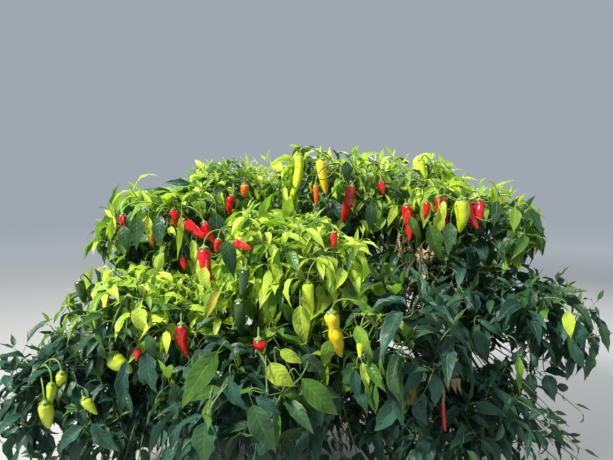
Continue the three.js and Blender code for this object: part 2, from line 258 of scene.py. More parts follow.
MASSES: dict[str, MassPlan] = {
    "crown_top": MassPlan(
        "top", (0.09, 0.1, 0.845), (0.34, 0.4, 0.155), 0.3, (0.045, 0.08), 64, 0.6, (0, 0.15)
    ),
    "crown_left": MassPlan(
        "top", (-0.34, 0.2, 0.83), (0.26, 0.4, 0.13), 0.3, (0.045, 0.08), 52, 0.5, (0, 0.25)
    ),
    "crown_right": MassPlan(
        "top", (0.46, 0.26, 0.85), (0.27, 0.4, 0.13), 0.3, (0.045, 0.08), 54, 0.62, (0, 0.25)
    ),
    "left_shoulder": MassPlan(
        "left", (-0.52, 0, 0.735), (0.3, 0.37, 0.145), 0.7, (0.05, 0.1), 46, 0.4, (0, 0.4)
    ),
    "right_shoulder": MassPlan(
        "right", (0.62, -0.02, 0.755), (0.33, 0.37, 0.135), 0.7, (0.05, 0.1), 50, 0.45, (0, 0.5)
    ),
    "front_upper": MassPlan(
        "top", (-0.06, -0.46, 0.68), (0.3, 0.33, 0.14), 0.4, (0.045, 0.085), 70, 0.92, (0, 0.1)
    ),
    "left_flank": MassPlan(
        "left", (-0.5, -0.47, 0.555), (0.27, 0.33, 0.135), 0.35, (0.045, 0.08), 62, 0.48, (0.26, 0.62)
    ),
    "lower_left": MassPlan(
        "left", (-0.72, -0.42, 0.375), (0.28, 0.36, 0.15), 0.4, (0.05, 0.09), 56, -0.02, (0.1, 0.15)
    ),
    "front_low": MassPlan(
        "front", (-0.17, -0.7, 0.425), (0.26, 0.3, 0.16), 0.55, (0.06, 0.1), 44, 0.06, (0, 0.35)
    ),
    "front_right": MassPlan(
        "front", (0.24, -0.6, 0.52), (0.25, 0.3, 0.15), 0.55, (0.055, 0.1), 44, 0.2, (-0.55, 0.15)
    ),
    "right_flank": MassPlan(
        "right", (0.77, -0.18, 0.51), (0.28, 0.36, 0.155), 0.65, (0.045, 0.085), 52, -0.05, (0, 0.1)
    ),
    "lower_right": MassPlan(
        "right", (0.42, -0.5, 0.32), (0.3, 0.32, 0.135), 0.55, (0.045, 0.085), 50, -0.1, (0, 0)
    ),
    "inner_right": MassPlan(
        "right", (0.42, -0.1, 0.59), (0.26, 0.36, 0.125), 0.6, (0.045, 0.085), 44, 0, (-0.2, 0.2)
    ),
    "back_left": MassPlan(
        "back", (-0.54, 0.52, 0.55), (0.34, 0.45, 0.17), 0.35, (0.05, 0.095), 52, 0.3, (0, 0.3), 1
    ),
    "back_top": MassPlan(
        "back", (0.06, 0.62, 0.69), (0.34, 0.38, 0.16), 0.35, (0.05, 0.09), 52, 0.5, (0, 0.3), 1
    ),
    "back_right": MassPlan(
        "back", (0.62, 0.52, 0.53), (0.34, 0.45, 0.17), 0.35, (0.05, 0.095), 52, 0.25, (0, 0.3), 1
    ),
    "back_low": MassPlan(
        "back", (0.03, 0.66, 0.38), (0.4, 0.34, 0.16), 0.4, (0.055, 0.105), 48, 0.1, (0, 0.3), 1
    ),
}

REGIONS: dict[str, tuple[str, ...]] = {
    "upper": ("crown_top", "crown_left", "crown_right", "left_shoulder", "right_shoulder"),
    "front": ("front_upper", "left_flank", "lower_left", "front_low", "front_right"),
    "right": ("right_flank", "lower_right", "inner_right"),
    "rear": ("back_left", "back_top", "back_right", "back_low"),
}
REGION_OF = {name: region for region, names in REGIONS.items() for name in names}


class PodForm(Enum):
    """The shapes of pods, as points of share along the pod and share of its greatest radius."""

    TAPERED = ((0, 0.98), (0.26, 1.0), (0.52, 0.86), (0.76, 0.58), (0.93, 0.27), (1, 0.16))
    PLUMP = ((0, 0.94), (0.2, 1.0), (0.48, 0.96), (0.76, 0.66), (0.94, 0.34), (1, 0.24))
    SLIM = ((0, 0.9), (0.25, 1.0), (0.62, 0.88), (0.88, 0.5), (1, 0.26))
    WAISTED = ((0, 0.92), (0.18, 0.95), (0.34, 0.66), (0.5, 1.0), (0.72, 0.78), (0.93, 0.32), (1, 0.18))


@dataclass(frozen=True)
class PodFinish:
    """The skin of a pod: its ripe colour, and the colour that it still has in places."""

    name: str
    ripe: Triple
    unripe: Triple
    slot: str
    wrinkle: float


class Ripeness(Enum):
    """Stages of ripening, each with the pod's skin."""

    RED = PodFinish("red", (0.64, 0.004, 0.007), (0.32, 0.004, 0.008), "pods_red", 0.34)
    ORANGE = PodFinish("orange", (0.85, 0.12, 0.006), (0.80, 0.30, 0.012), "pods_red", 0.10)
    YELLOW = PodFinish("yellow", (0.90, 0.62, 0.010), (0.70, 0.72, 0.05), "pods_green", 0.12)
    LIME = PodFinish("lime", (0.56, 0.70, 0.022), (0.28, 0.48, 0.02), "pods_green", 0.08)
    GREEN = PodFinish("green", (0.035, 0.085, 0.022), (0.02, 0.045, 0.018), "pods_green", 0.06)


@dataclass(frozen=True)
class PodPlan:
    """A pod: its place across and up in its mass in shares, its sizes in metres and its slant in degrees.

    The slant is measured in the front view, from straight down towards +X.
    """

    across: float
    up: float
    length: float
    radius: float
    ripeness: Ripeness
    form: PodForm = PodForm.TAPERED
    slant: float = 0.0
    depth: float = 0.86


def planned(kind: type, rows: dict[str, tuple[tuple[object, ...], ...]]) -> dict[str, list]:
    """The plans of a kind in each mass, from their rows of values."""
    return {mass: [kind(*row) for row in group] for mass, group in rows.items()}


TAPERED, PLUMP, SLIM, WAISTED = PodForm
RED, ORANGE, YELLOW, LIME, GREEN = Ripeness
PODS: dict[str, list[PodPlan]] = planned(PodPlan, {
    "crown_top": (
        (-0.34, 0.71, 0.132, 0.0125, LIME, SLIM, 2), (-0.11, 0.6, 0.088, 0.0135, YELLOW, TAPERED, 2),
        (-0.17, 0.15, 0.052, 0.007, ORANGE, SLIM, 3), (0.21, 0.12, 0.094, 0.0135, RED, TAPERED, -14),
        (0.53, 0.22, 0.034, 0.008, RED, PLUMP, 8),
    ),
    "crown_left": (
        (0.25, 0.08, 0.052, 0.011, RED, TAPERED, -24), (0.4, 0.34, 0.036, 0.0115, ORANGE, PLUMP, 4),
    ),
    "crown_right": (
        (0.0, 0.75, 0.052, 0.009, LIME, TAPERED),
    ),
    "left_shoulder": (
        (-0.42, 0.38, 0.04, 0.0085, RED, TAPERED, 4), (-0.01, 0.17, 0.052, 0.008, ORANGE, TAPERED, -18),
        (0.19, 0.47, 0.046, 0.011, RED, TAPERED, 6), (0.31, 0.27, 0.076, 0.0135, RED, TAPERED, 44),
        (0.53, 0.23, 0.06, 0.0125, RED, TAPERED, 16), (0.28, -0.38, 0.034, 0.008, RED, TAPERED, 12),
    ),
    "right_shoulder": (
        (-0.77, 0.45, 0.092, 0.0135, RED, TAPERED, 11), (-0.58, 0.49, 0.042, 0.0085, RED, TAPERED),
        (-0.45, 0.61, 0.092, 0.015, RED, TAPERED, 17), (-0.23, 0.55, 0.08, 0.014, RED, TAPERED, 26),
        (-0.06, 0.53, 0.05, 0.013, RED, PLUMP, -4), (-0.26, 0.56, 0.082, 0.019, LIME, TAPERED, 8, 0.97),
    ),
    "front_upper": (
        (-0.81, 0.29, 0.072, 0.0135, RED, TAPERED, 5), (-0.49, 0.39, 0.04, 0.0085, RED, TAPERED, 76),
        (-0.65, 0.43, 0.028, 0.0075, RED, PLUMP), (0.46, 0.54, 0.03, 0.0085, RED, PLUMP, 10),
        (0.21, -0.17, 0.062, 0.0115, LIME, TAPERED, 3), (-0.36, 0.02, 0.05, 0.011, GREEN, TAPERED, -14),
        (-0.44, -0.49, 0.076, 0.0125, GREEN, SLIM, 4),
    ),
    "left_flank": (
        (0.55, 0.08, 0.068, 0.0105, RED, SLIM), (0.13, -0.25, 0.026, 0.007, RED, PLUMP),
        (-0.15, -0.38, 0.05, 0.0165, LIME, PLUMP, 34), (-0.73, 0.64, 0.052, 0.011, GREEN, SLIM),
    ),
    "lower_left": (
        (-0.05, 0.18, 0.058, 0.0135, LIME, PLUMP, 6), (-0.01, 0.41, 0.046, 0.0095, LIME, TAPERED, -8),
        (0.06, 0.54, 0.028, 0.011, LIME, PLUMP), (0.32, 0.2, 0.04, 0.0105, LIME, TAPERED, 26),
    ),
    "front_low": (
        (0.18, 0.82, 0.026, 0.0115, RED, PLUMP),
    ),
    "front_right": (
        (-0.68, 0.5, 0.094, 0.0155, YELLOW, WAISTED, 3), (-0.39, 0.34, 0.048, 0.0075, LIME, SLIM, 1),
    ),
    "right_flank": (
        (0.3, 0.1, 0.066, 0.011, GREEN, TAPERED),
    ),
    "lower_right": (
        (-0.12, 0.58, 0.052, 0.0045, RED, SLIM, -3),
    ),
    "back_left": (
        (-0.4, 0.2, 0.08, 0.013, RED, TAPERED, 8), (0.2, 0.1, 0.066, 0.015, LIME, PLUMP, -12),
        (0.3, -0.4, 0.07, 0.012, RED, TAPERED, 5),
    ),
    "back_top": (
        (-0.3, 0.2, 0.09, 0.013, RED, TAPERED, -9), (0.4, 0.1, 0.084, 0.013, YELLOW, TAPERED, 6),
    ),
    "back_right": (
        (0.4, 0.2, 0.084, 0.014, RED, TAPERED, 10), (-0.1, -0.2, 0.064, 0.012, ORANGE, TAPERED, -8),
    ),
    "back_low": (
        (-0.4, 0.1, 0.062, 0.014, LIME, PLUMP, 5), (0.4, 0.0, 0.056, 0.009, RED, TAPERED, -5),
    ),
})


@dataclass(frozen=True)
class LeafFinish:
    """The colours of a tint of leaf: its blade, its ribs and stalk, its tip, and the light through it."""

    name: str
    blade: Triple
    rib: Triple
    tip: Triple
    glow: Triple
    through: float
    gloss: float


class Tint(Enum):
    """The tints of leaf: lime and fresh paint leaves in sun, leafy stands between, deep and shade paint
    leaves in shade, shade bluish with a painted sky sheen, and yellowed and withered are old and dry leaves.
    Young leaves are a tint lighter too.
    """

    LIME = LeafFinish(
        "lime", (0.49, 0.66, 0.055), (0.68, 0.79, 0.24), (0.55, 0.60, 0.05), (0.52, 0.80, 0.04), 0.36, 0.48
    )
    FRESH = LeafFinish(
        "fresh", (0.21, 0.38, 0.036), (0.42, 0.57, 0.15), (0.30, 0.42, 0.04), (0.28, 0.58, 0.03), 0.32, 0.45
    )
    LEAFY = LeafFinish(
        "leafy", (0.065, 0.17, 0.022), (0.18, 0.31, 0.08), (0.24, 0.30, 0.04), (0.15, 0.36, 0.03), 0.28, 0.38
    )
    DEEP = LeafFinish(
        "deep", (0.028, 0.086, 0.028), (0.09, 0.19, 0.07), (0.12, 0.17, 0.04), (0.07, 0.18, 0.03), 0.20, 0.44
    )
    SHADE = LeafFinish(
        "shade", (0.020, 0.080, 0.050), (0.08, 0.19, 0.12), (0.08, 0.15, 0.06), (0.04, 0.13, 0.06), 0.16, 0.46
    )
    YELLOWED = LeafFinish(
        "yellowed", (0.46, 0.42, 0.035), (0.50, 0.50, 0.12), (0.34, 0.20, 0.05), (0.6, 0.56, 0.05), 0.36, 0.5
    )
    WITHERED = LeafFinish(
        "withered", (0.50, 0.40, 0.22), (0.56, 0.46, 0.28), (0.22, 0.14, 0.07), (0.45, 0.3, 0.12), 0.2, 0.75
    )


@dataclass(frozen=True)
class HeldPlan:
    """A leaf that stands out in the photograph, given as a pod is, with the width of its blade in metres."""

    across: float
    up: float
    length: float
    width: float
    slant: float
    tint: Tint


HELD_LEAVES: dict[str, list[HeldPlan]] = planned(HeldPlan, {
    "left_flank": (
        (0.24, -0.33, 0.08, 0.046, 1, Tint.SHADE), (0.03, -0.41, 0.104, 0.026, -6, Tint.SHADE),
        (0.27, -0.01, 0.054, 0.022, 6, Tint.DEEP), (-0.24, 0.07, 0.064, 0.024, -49, Tint.DEEP),
    ),
    "lower_left": (
        (-0.11, 0.85, 0.064, 0.024, -56, Tint.SHADE), (0.34, -0.17, 0.07, 0.03, -63, Tint.SHADE),
        (0.42, -0.12, 0.076, 0.034, 43, Tint.SHADE),
    ),
    "front_low": (
        (-0.21, 0.71, 0.12, 0.042, -39, Tint.LEAFY), (-0.14, 0.39, 0.056, 0.02, -75, Tint.LEAFY),
        (-0.22, 0.29, 0.074, 0.024, -11, Tint.LEAFY), (-0.05, 0.48, 0.064, 0.036, 9, Tint.SHADE),
        (0.16, 0.23, 0.086, 0.042, 22, Tint.DEEP), (0.19, 0.29, 0.052, 0.022, 63, Tint.SHADE),
        (0.31, 0.6, 0.064, 0.038, 32, Tint.LIME), (0.4, 0.7, 0.05, 0.022, 59, Tint.LIME),
        (0.61, 0.4, 0.096, 0.044, 40, Tint.LEAFY), (0.59, 0.61, 0.058, 0.03, 59, Tint.DEEP),
        (-0.27, 0.01, 0.074, 0.042, -11, Tint.DEEP), (0.38, 0.13, 0.078, 0.016, -4, Tint.LEAFY),
    ),
    "front_upper": (
        (0.14, -0.51, 0.086, 0.036, 0, Tint.LIME), (-0.76, 0.0, 0.056, 0.026, -6, Tint.LIME),
        (-0.56, 0.43, 0.08, 0.032, 15, Tint.DEEP),
    ),
    "front_right": (
        (-0.44, 0.41, 0.072, 0.026, 16, Tint.FRESH), (-0.71, 0.18, 0.062, 0.026, -14, Tint.FRESH),
        (0.19, -0.66, 0.05, 0.026, 22, Tint.SHADE), (-0.45, -0.17, 0.056, 0.022, -9, Tint.SHADE),
    ),
    "left_shoulder": (
        (-0.51, 0.33, 0.064, 0.02, -2, Tint.LIME), (-0.35, 0.19, 0.068, 0.03, 9, Tint.DEEP),
        (-0.2, 0.36, 0.082, 0.032, 4, Tint.DEEP), (-0.06, 0.35, 0.066, 0.019, 4, Tint.LIME),
        (0.08, 0.37, 0.08, 0.034, -6, Tint.DEEP), (0.3, 0.36, 0.108, 0.018, 0, Tint.LIME),
        (0.65, 0.41, 0.118, 0.052, 6, Tint.DEEP), (0.46, -0.13, 0.056, 0.02, -8, Tint.LIME),
    ),
    "crown_left": (
        (-0.34, 0.31, 0.066, 0.022, -100, Tint.SHADE),
    ),
    "crown_top": (
        (0.71, -0.21, 0.064, 0.022, -27, Tint.LIME), (0.15, 0.56, 0.066, 0.03, 8, Tint.DEEP),
        (0.41, -0.17, 0.076, 0.031, -4, Tint.DEEP),
    ),
    "right_shoulder": (
        (-0.76, 0.2, 0.066, 0.024, 11, Tint.LEAFY), (-0.59, 0.59, 0.078, 0.03, 0, Tint.LIME),
        (-0.43, 0.53, 0.078, 0.02, -11, Tint.LIME), (-0.59, 0.05, 0.096, 0.04, 9, Tint.LEAFY),
        (-0.4, 0.12, 0.08, 0.032, -9, Tint.DEEP), (0.27, 0.39, 0.06, 0.026, -7, Tint.FRESH),
        (0.45, 0.34, 0.06, 0.024, 27, Tint.DEEP), (0.1, 0.78, 0.074, 0.02, 6, Tint.FRESH),
        (0.09, 0.52, 0.062, 0.025, -9, Tint.DEEP), (-0.49, 0.43, 0.1, 0.026, -5, Tint.LIME),
    ),
    "right_flank": (
        (-0.74, -0.03, 0.082, 0.04, 13, Tint.SHADE), (-0.33, -0.34, 0.09, 0.018, -4, Tint.FRESH),
        (-0.07, -0.76, 0.064, 0.03, -14, Tint.SHADE), (0.14, -0.8, 0.07, 0.038, 14, Tint.SHADE),
        (0.25, -0.15, 0.063, 0.026, 10, Tint.SHADE), (0.51, -0.24, 0.082, 0.026, -6, Tint.DEEP),
        (0.72, 0.1, 0.07, 0.024, 6, Tint.DEEP), (0.2, 0.34, 0.062, 0.026, -6, Tint.LIME),
        (0.33, 0.15, 0.06, 0.028, 0, Tint.SHADE),
    ),
})


@dataclass(frozen=True)
class Gap:
    """An opening in the crown: its line's ends in shares of the crown, and its half width in metres."""

    start: Triple
    end: Triple
    half_width: float


GAPS: tuple[Gap, ...] = (
    Gap((0.386, -0.196, 0.577), (0.386, -0.196, 0.512), 0.013),
    Gap((0.266, -0.196, 0.434), (0.404, -0.196, 0.399), 0.011),
    Gap((0.636, -0.196, 0.382), (0.713, -0.196, 0.409), 0.020),
)


class Sight:
    """The photographed view, which turns places into pixels of the photograph's frame."""

    def __init__(self) -> None:
        """Sets the view's heading from the horizon's height in the frame."""
        self.pitch = math.atan((PHOTO_HEIGHT_PX / 2 - HORIZON_PX) / FOCAL_PX)
        self.ahead = np.array([0.0, math.cos(self.pitch), -math.sin(self.pitch)])
        self.up = np.array([0.0, math.sin(self.pitch), math.cos(self.pitch)])

    def pixels(self, points: Array) -> tuple[Array, Array]:
        """Where points show in the photograph's frame.

        Args:
            points: places in metres, one in each row.

        Returns:
            Their pixels, one pair in each row, and their depths.
        """
        away = points - CAMERA_PLACE
        depth = away @ self.ahead
        across = PHOTO_WIDTH_PX / 2 + FOCAL_PX * away[:, 0] / depth
        down = PHOTO_HEIGHT_PX / 2 - FOCAL_PX * (away @ self.up) / depth
        return np.stack([across, down], axis=1), depth

    def make_camera(self) -> None:
        """Adds the camera that takes the photographed view."""
        data = bpy.data.cameras.new("photo_camera")
        data.sensor_width = SENSOR_WIDTH_MM
        data.lens = SENSOR_WIDTH_MM * FOCAL_PX / PHOTO_WIDTH_PX
        data.clip_start = 0.02
        camera = into_scene("photo_camera", data)
        camera.location = CAMERA_PLACE
        camera.rotation_euler = (math.pi / 2 - self.pitch, 0, 0)
        bpy.context.scene.camera = camera


class Mass:
    """One mass of foliage, with its own space round its middle."""

    FLATNESS = 1.5
    ROOM = 0.0012
    SEED = 4310
    PATCHINESS = 0.24
    PATCHES_PER_METRE = 9

    def __init__(self, name: str, plan: MassPlan, index: int) -> None:
        """Works out the mass's places in metres.

        Args:
            name: the mass's plain name.
            plan: its place, sizes and leaves.
            index: its place in the row of masses, which its run of numbers comes from.
        """
        self.name = name
        self.plan = plan
        self.middle = placed(plan.middle)
        self.half = placed(plan.size)
        self.spread = (self.half[0] + self.half[1] + self.half[2] * self.FLATNESS) / 3
        self.random = SeededRun(self.SEED + index)
        self.others: list["Mass"] = []

    def reach(self, point: Array) -> float:
        """How far out a point is, with 1 at the mass's outer surface."""
        return float(np.linalg.norm((point - self.middle) / self.half))

    def outward(self, point: Array) -> Array:
        """The way out of the mass at a point."""
        return unit((point - self.middle) / self.half**2)

    def front_place(self, across: float, up: float, depth: float) -> Array:
        """The place on the side that the mass shows, at shares of its half sizes."""
        inner = math.sqrt(max(0.0, 1 - across**2 - up**2))
        return self.middle + np.array([across, self.plan.facing * depth * inner, up]) * self.half

    def light(self, place: Array) -> float:
        """The light on a place, with patches of sun and shade.

        Args:
            place: the place.

        Returns:
            The light, from about 0 in the shade to 1 in the sun.
        """
        across, up = self.plan.slope
        apart = (place - self.middle) / self.half
        patch = noise.noise(Vector(place * self.PATCHES_PER_METRE))
        return self.plan.sun + across * apart[0] + up * apart[2] + self.PATCHINESS * patch

    def weight(self, point: Array) -> float:
        """How little a point belongs to the mass."""
        apart = (point - self.middle) * np.array([1, 1, self.FLATNESS])
        return float(apart @ apart) - self.spread**2

    def owns(self, point: Array, margin: float) -> bool:
        """Whether a point keeps to the mass's side of the plane between it and each neighbour.

        Args:
            point: the place.
            margin: the distance that is kept to each plane.

        Returns:
            True where the point is the mass's own.
        """
        own = self.weight(point)
        for other in self.others:
            apart = (other.middle - self.middle) * np.array([1, 1, self.FLATNESS])
            if other.weight(point) - own <= 2 * np.linalg.norm(apart) * margin * self.FLATNESS:
                return False
        return True


@dataclass
class Twig:
    """A twig along a curve, with its radius at its start, at its end and at a thickened tip."""

    curve: Curve
    start_radius: float
    end_radius: float
    steps: int = 8
    tip_radius: float = 0.0
    dry: bool = False

    def radius(self, share: float) -> float:
        """The twig's radius at a share of its length."""
        plain = self.start_radius + (self.end_radius - self.start_radius) * share
        return plain + ((self.tip_radius or plain) - plain) * max(0.0, (share - 0.7) / 0.3) ** 2


@dataclass
class Leaf:
    """A leaf's place, with its upper side, its blade's width and length, its shape's number and its tone,
    which strays at random and is darker inside the crown as painted shade.
    """

    root: Array
    along: Array
    upper: Array
    widen: float
    length: float
    shape: int
    tone: float


@dataclass(frozen=True)
class Bend:
    """How a kind of leaf is bent: lengths as shares of the blade's, angles in degrees, each from low to high.

    With early under 1 the blade falls at once, and with more than 1 towards its tip.
    """

    count: int
    rows: int
    stalk: Range
    rise: Range
    fall: Range
    early: float
    fold: Range
    width: Range
    wave: Range
    twist: float


class Habit(Enum):
    """The kinds of leaf by the way that they hold themselves."""

    YOUNG = Bend(12, 5, (0.14, 0.3), (8, 32), (-5, 75), 1.2, (24, 58), (0.26, 0.38), (0.08, 0.22), 40)
    SPREAD = Bend(14, 6, (0.24, 0.44), (10, 38), (35, 100), 1.1, (18, 56), (0.32, 0.46), (0.1, 0.3), 50)
    HANGING = Bend(14, 7, (0.22, 0.4), (5, 35), (66, 104), 0.42, (14, 56), (0.32, 0.48), (0.1, 0.28), 60)
    HELD = Bend(9, 9, (0.12, 0.18), (0, 6), (12, 60), 1.2, (14, 44), (0.49, 0.51), (0.1, 0.24), 40)
    DRY = Bend(5, 7, (0.2, 0.35), (0, 10), (-10, 25), 0.6, (55, 78), (0.34, 0.5), (0.3, 0.5), 160)

    def first(self) -> int:
        """The number of the habit's first shape."""
        kinds = list(Habit)
        return sum(kind.value.count for kind in kinds[: kinds.index(self)])

    def pick(self, random: SeededRun) -> int:
        """The number of one of the habit's shapes."""
        return self.first() + random.pick(self.value.count)


@dataclass(frozen=True)
class LeafShape:
    """One shape of leaf: angles in radians, and sizes as shares of the blade's length."""

    rows: int
    early: float
    stalk: float
    rise: float
    fall: float
    fold: float
    width: float
    wave: float
    twist: float
    sway: float
    curl: float
    fullness: float

    COLUMNS = (-1.0, -0.5, 0.0, 0.5, 1.0)
    STALK_STEPS = 2
    STALK_SIDES = 3
    STALK_RADIUS = 0.0095

    @staticmethod
    def seeded(random: SeededRun, habit: Habit) -> "LeafShape":
        """A shape with its own bend, fold and wave.

        Args:
            random: the run that the shape comes from.
            habit: the kind of leaf.

        Returns:
            The shape.
        """
        bend = habit.value
        return LeafShape(
            rows=bend.rows,
            early=bend.early,
            stalk=random.within(*bend.stalk),
            rise=math.radians(random.within(*bend.rise)),
            fall=math.radians(random.within(*bend.fall)),
            fold=math.radians(random.within(*bend.fold)),
            width=random.within(*bend.width),
            wave=random.within(*bend.wave),
            twist=math.radians(random.within(-bend.twist, bend.twist)),
            sway=math.radians(random.within(-30, 30)),
            curl=random.within(0.05, 0.3),
            fullness=random.within(0.62, 0.84),
        )

    def outline(self, share: float) -> float:
        """The blade's half width at a share of its length, about 1 at its widest, drawn out to a point."""
        return 1.15 * math.sin(math.pi * share**self.fullness) * (1 - share) ** 0.3

    def spine(self) -> list[tuple[Array, Array, Array, float]]:
        """The line through the stalk and the blade.

        Returns:
            For each place its middle, side, upper side and share of the blade, under 0 on the stalk.
        """
        places = []
        middle = np.zeros(3)
        shares = [self.stalk * (i / self.STALK_STEPS - 1) for i in range(self.STALK_STEPS)]
        shares += [i / (self.rows + 1) for i in range(self.rows + 2)]
        for i, share in enumerate(shares):
            if share < 0:
                pitch = self.rise * (0.25 - 0.75 * share / self.stalk)
            else:
                pitch = 0.25 * self.rise - (self.fall + 0.25 * self.rise) * share**self.early
            yaw = self.sway * max(share, 0.0)
            flat = math.cos(pitch)
            ahead = np.array([math.sin(yaw) * flat, math.cos(yaw) * flat, math.sin(pitch)])
            level = np.array([math.cos(yaw), -math.sin(yaw), 0.0])
            side = around(level, np.cross(level, ahead), self.twist * max(share, 0.0))
            if i:
                middle = middle + ahead * (share - shares[i - 1])
            places.append((middle, side, np.cross(side, ahead), share))
        return places

    def mesh(self, name: str) -> Mesh:
        """The leaf's mesh, a blade of one metre with its root at the origin, heading along +Y.

        Args:
            name: the mesh's name.

        Returns:
            The mesh, with its UV map: across the blade, and along it from under 0 on the stalk to 1.
        """
        spine = self.spine()
        sides = self.STALK_SIDES
        points: list[Array] = []
        uvs: list[Range] = []
        faces: list[tuple[int, ...]] = []
        for middle, side, upper, share in spine[: self.STALK_STEPS + 1]:
            for k in range(sides):
                angle = FULL_TURN * k / sides + math.pi / 2
                points.append(middle + around(side, upper, angle) * self.STALK_RADIUS)
                uvs.append((0.5, min(share, 0.0) - 0.02))
        for i in range(self.STALK_STEPS):
            for k in range(sides):
                a, b = sides * i + k, sides * i + (k + 1) % sides
                faces.append((a, b, b + sides, a + sides))
        first = len(points)
        blade = spine[self.STALK_STEPS :]
        points.append(blade[0][0])
        uvs.append((0.5, 0.0))
        for middle, side, upper, share in blade[1:-1]:
            half = self.width / 2 * self.outline(share)
            fold = self.fold * (1 - 0.5 * share)
            for column in self.COLUMNS:
                reach = abs(column)
                lift = math.sin(fold) * reach - self.curl * reach**2
                ripple = self.wave * math.sin(share * 17 + 2.4 * column + self.sway * 8) * reach
                across = side * (half * column * math.cos(fold))
                points.append(middle + across + upper * half * (lift + ripple))
                uvs.append(((column + 1) / 2, share))
        points.append(blade[-1][0])
        uvs.append((0.5, 1.0))
        count, last = len(self.COLUMNS), len(points) - 1
        for k in range(count - 1):
            row = first + 1 + k
            faces.append((first, row + 1, row))
            for i in range(self.rows - 1):
                a = row + i * count
                faces.append((a, a + 1, a + 1 + count, a + count))
            row += (self.rows - 1) * count
            faces.append((row, row + 1, last))
        return mesh_of(name, points, faces, uvs)


def mesh_of(
    name: str, points: Sequence[Array], faces: Sequence[tuple[int, ...]], uvs: Sequence[Range] | None = None
) -> Mesh:
    """A smooth mesh.

    Args:
        name: its name.
        points: its vertices.
        faces: the numbers of each face's vertices.
        uvs: a UV pair for each vertex.

    Returns:
        The mesh.
    """
    mesh = bpy.data.meshes.new(name)
    mesh.from_pydata([tuple(map(float, point)) for point in points], [], faces)
    if uvs is not None:
        layer = mesh.uv_layers.new(name="UVMap")
        corners = np.zeros(len(mesh.loops), np.int32)
        mesh.loops.foreach_get("vertex_index", corners)
        layer.data.foreach_set("uv", np.array(uvs, np.float32)[corners].ravel())
    mesh.shade_smooth()
    mesh.update()
    return mesh


def add_attribute(mesh: Mesh, name: str, kind: str, values: Sequence[object]) -> None:
    """Adds a value for each vertex.

    Args:
        mesh: the mesh that gets the values.
        name: the attribute's name.
        kind: its type, as Blender names it.
        values: one value or row for each vertex.
    """
    attribute = mesh.attributes.new(name, kind, "POINT")
    numbers = np.array(values, np.int32 if kind == "INT" else np.float32)
    attribute.data.foreach_set("vector" if kind == "FLOAT_VECTOR" else "value", numbers.ravel())


class TreeWork:
    """A node tree in the making."""

    def __init__(self, tree: bpy.types.NodeTree) -> None:
        """Takes up a tree."""
        self.tree = tree

    def feed(self, end: Socket, term: object) -> None:
        """Gives an input its value.

        Args:
            end: the input.
            term: a socket to link it to, or a number, a colour's three numbers or another value.
        """
        if isinstance(term, Socket):
            self.tree.links.new(term, end)
        else:
            end.default_value = (*term, 1.0) if end.type == "RGBA" else term

    def node(self, kind: str, inputs: dict | None = None, **settings: object) -> bpy.types.Node:
        """Adds a node.

        Args:
            kind: its type, as Blender names it.
            inputs: the socket or value for each input, by name or number.
            settings: its properties.

        Returns:
            The node.
        """
        made = self.tree.nodes.new(kind)
        for key, value in settings.items():
            setattr(made, key, value)
        for key, term in (inputs or {}).items():
            self.feed(made.inputs[key], term)
        return made

    def add_sockets(self, way: str, kinds: dict[str, str]) -> dict[str, bpy.types.NodeTreeInterfaceSocket]:
        """Adds the tree's own inputs or outputs, by name and kind."""
        new = self.tree.interface.new_socket
        return {key: new(key, in_out=way, socket_type="NodeSocket" + kind) for key, kind in kinds.items()}


class GrowthTree(TreeWork):
    """A geometry node tree with named inputs, from a mesh to a mesh."""

    def __init__(self, name: str, inputs: dict[str, str]) -> None:
        """Starts the tree.

        Args:
            name: the tree's name.
            inputs: the kind of socket of each named input.
        """
        super().__init__(bpy.data.node_groups.new(name, "GeometryNodeTree"))
        self.inputs = self.add_sockets("INPUT", {"Geometry": "Geometry", **inputs})
        self.add_sockets("OUTPUT", {"Geometry": "Geometry"})
        self.entry = self.node("NodeGroupInput").outputs

    def named(self, name: str, kind: str) -> Socket:
        """The values of a named attribute."""
        made = self.node("GeometryNodeInputNamedAttribute", {"Name": name}, data_type=kind)
        return made.outputs["Attribute"]

    def end_with_finish(self, geometry: Socket) -> None:
        """Ends the tree: instances made real, smooth, with the finish of the input named Finish.

        Args:
            geometry: the instances or the mesh.
        """
        for kind in ("RealizeInstances", "SetShadeSmooth", "SetMaterial"):
            node = self.node("GeometryNode" + kind, {"Geometry": geometry})
            geometry = node.outputs["Geometry"]
        self.feed(node.inputs["Material"], self.entry["Finish"])
        self.node("NodeGroupOutput", {"Geometry": geometry})

    def grow(self, name: str, seed_mesh: Mesh, values: dict[str, object]) -> Piece:
        """Runs the tree on a mesh and keeps the result as a plain piece.

        Args:
            name: the piece's name.
            seed_mesh: the points or edges that the tree grows on.
            values: the value of each named input.

        Returns:
            The piece, a plain mesh with no modifier.
        """
        source = into_scene(name + "_source", seed_mesh)
        modifier = source.modifiers.new("grow", "NODES")
        modifier.node_group = self.tree
        for key, value in values.items():
            modifier[self.inputs[key].identifier] = value
        graph = bpy.context.evaluated_depsgraph_get()
        result = bpy.data.meshes.new_from_object(source.evaluated_get(graph), depsgraph=graph)
        source.modifiers.remove(modifier)
        bpy.data.objects.remove(source)
        result.name = name
        return into_scene(name, result)


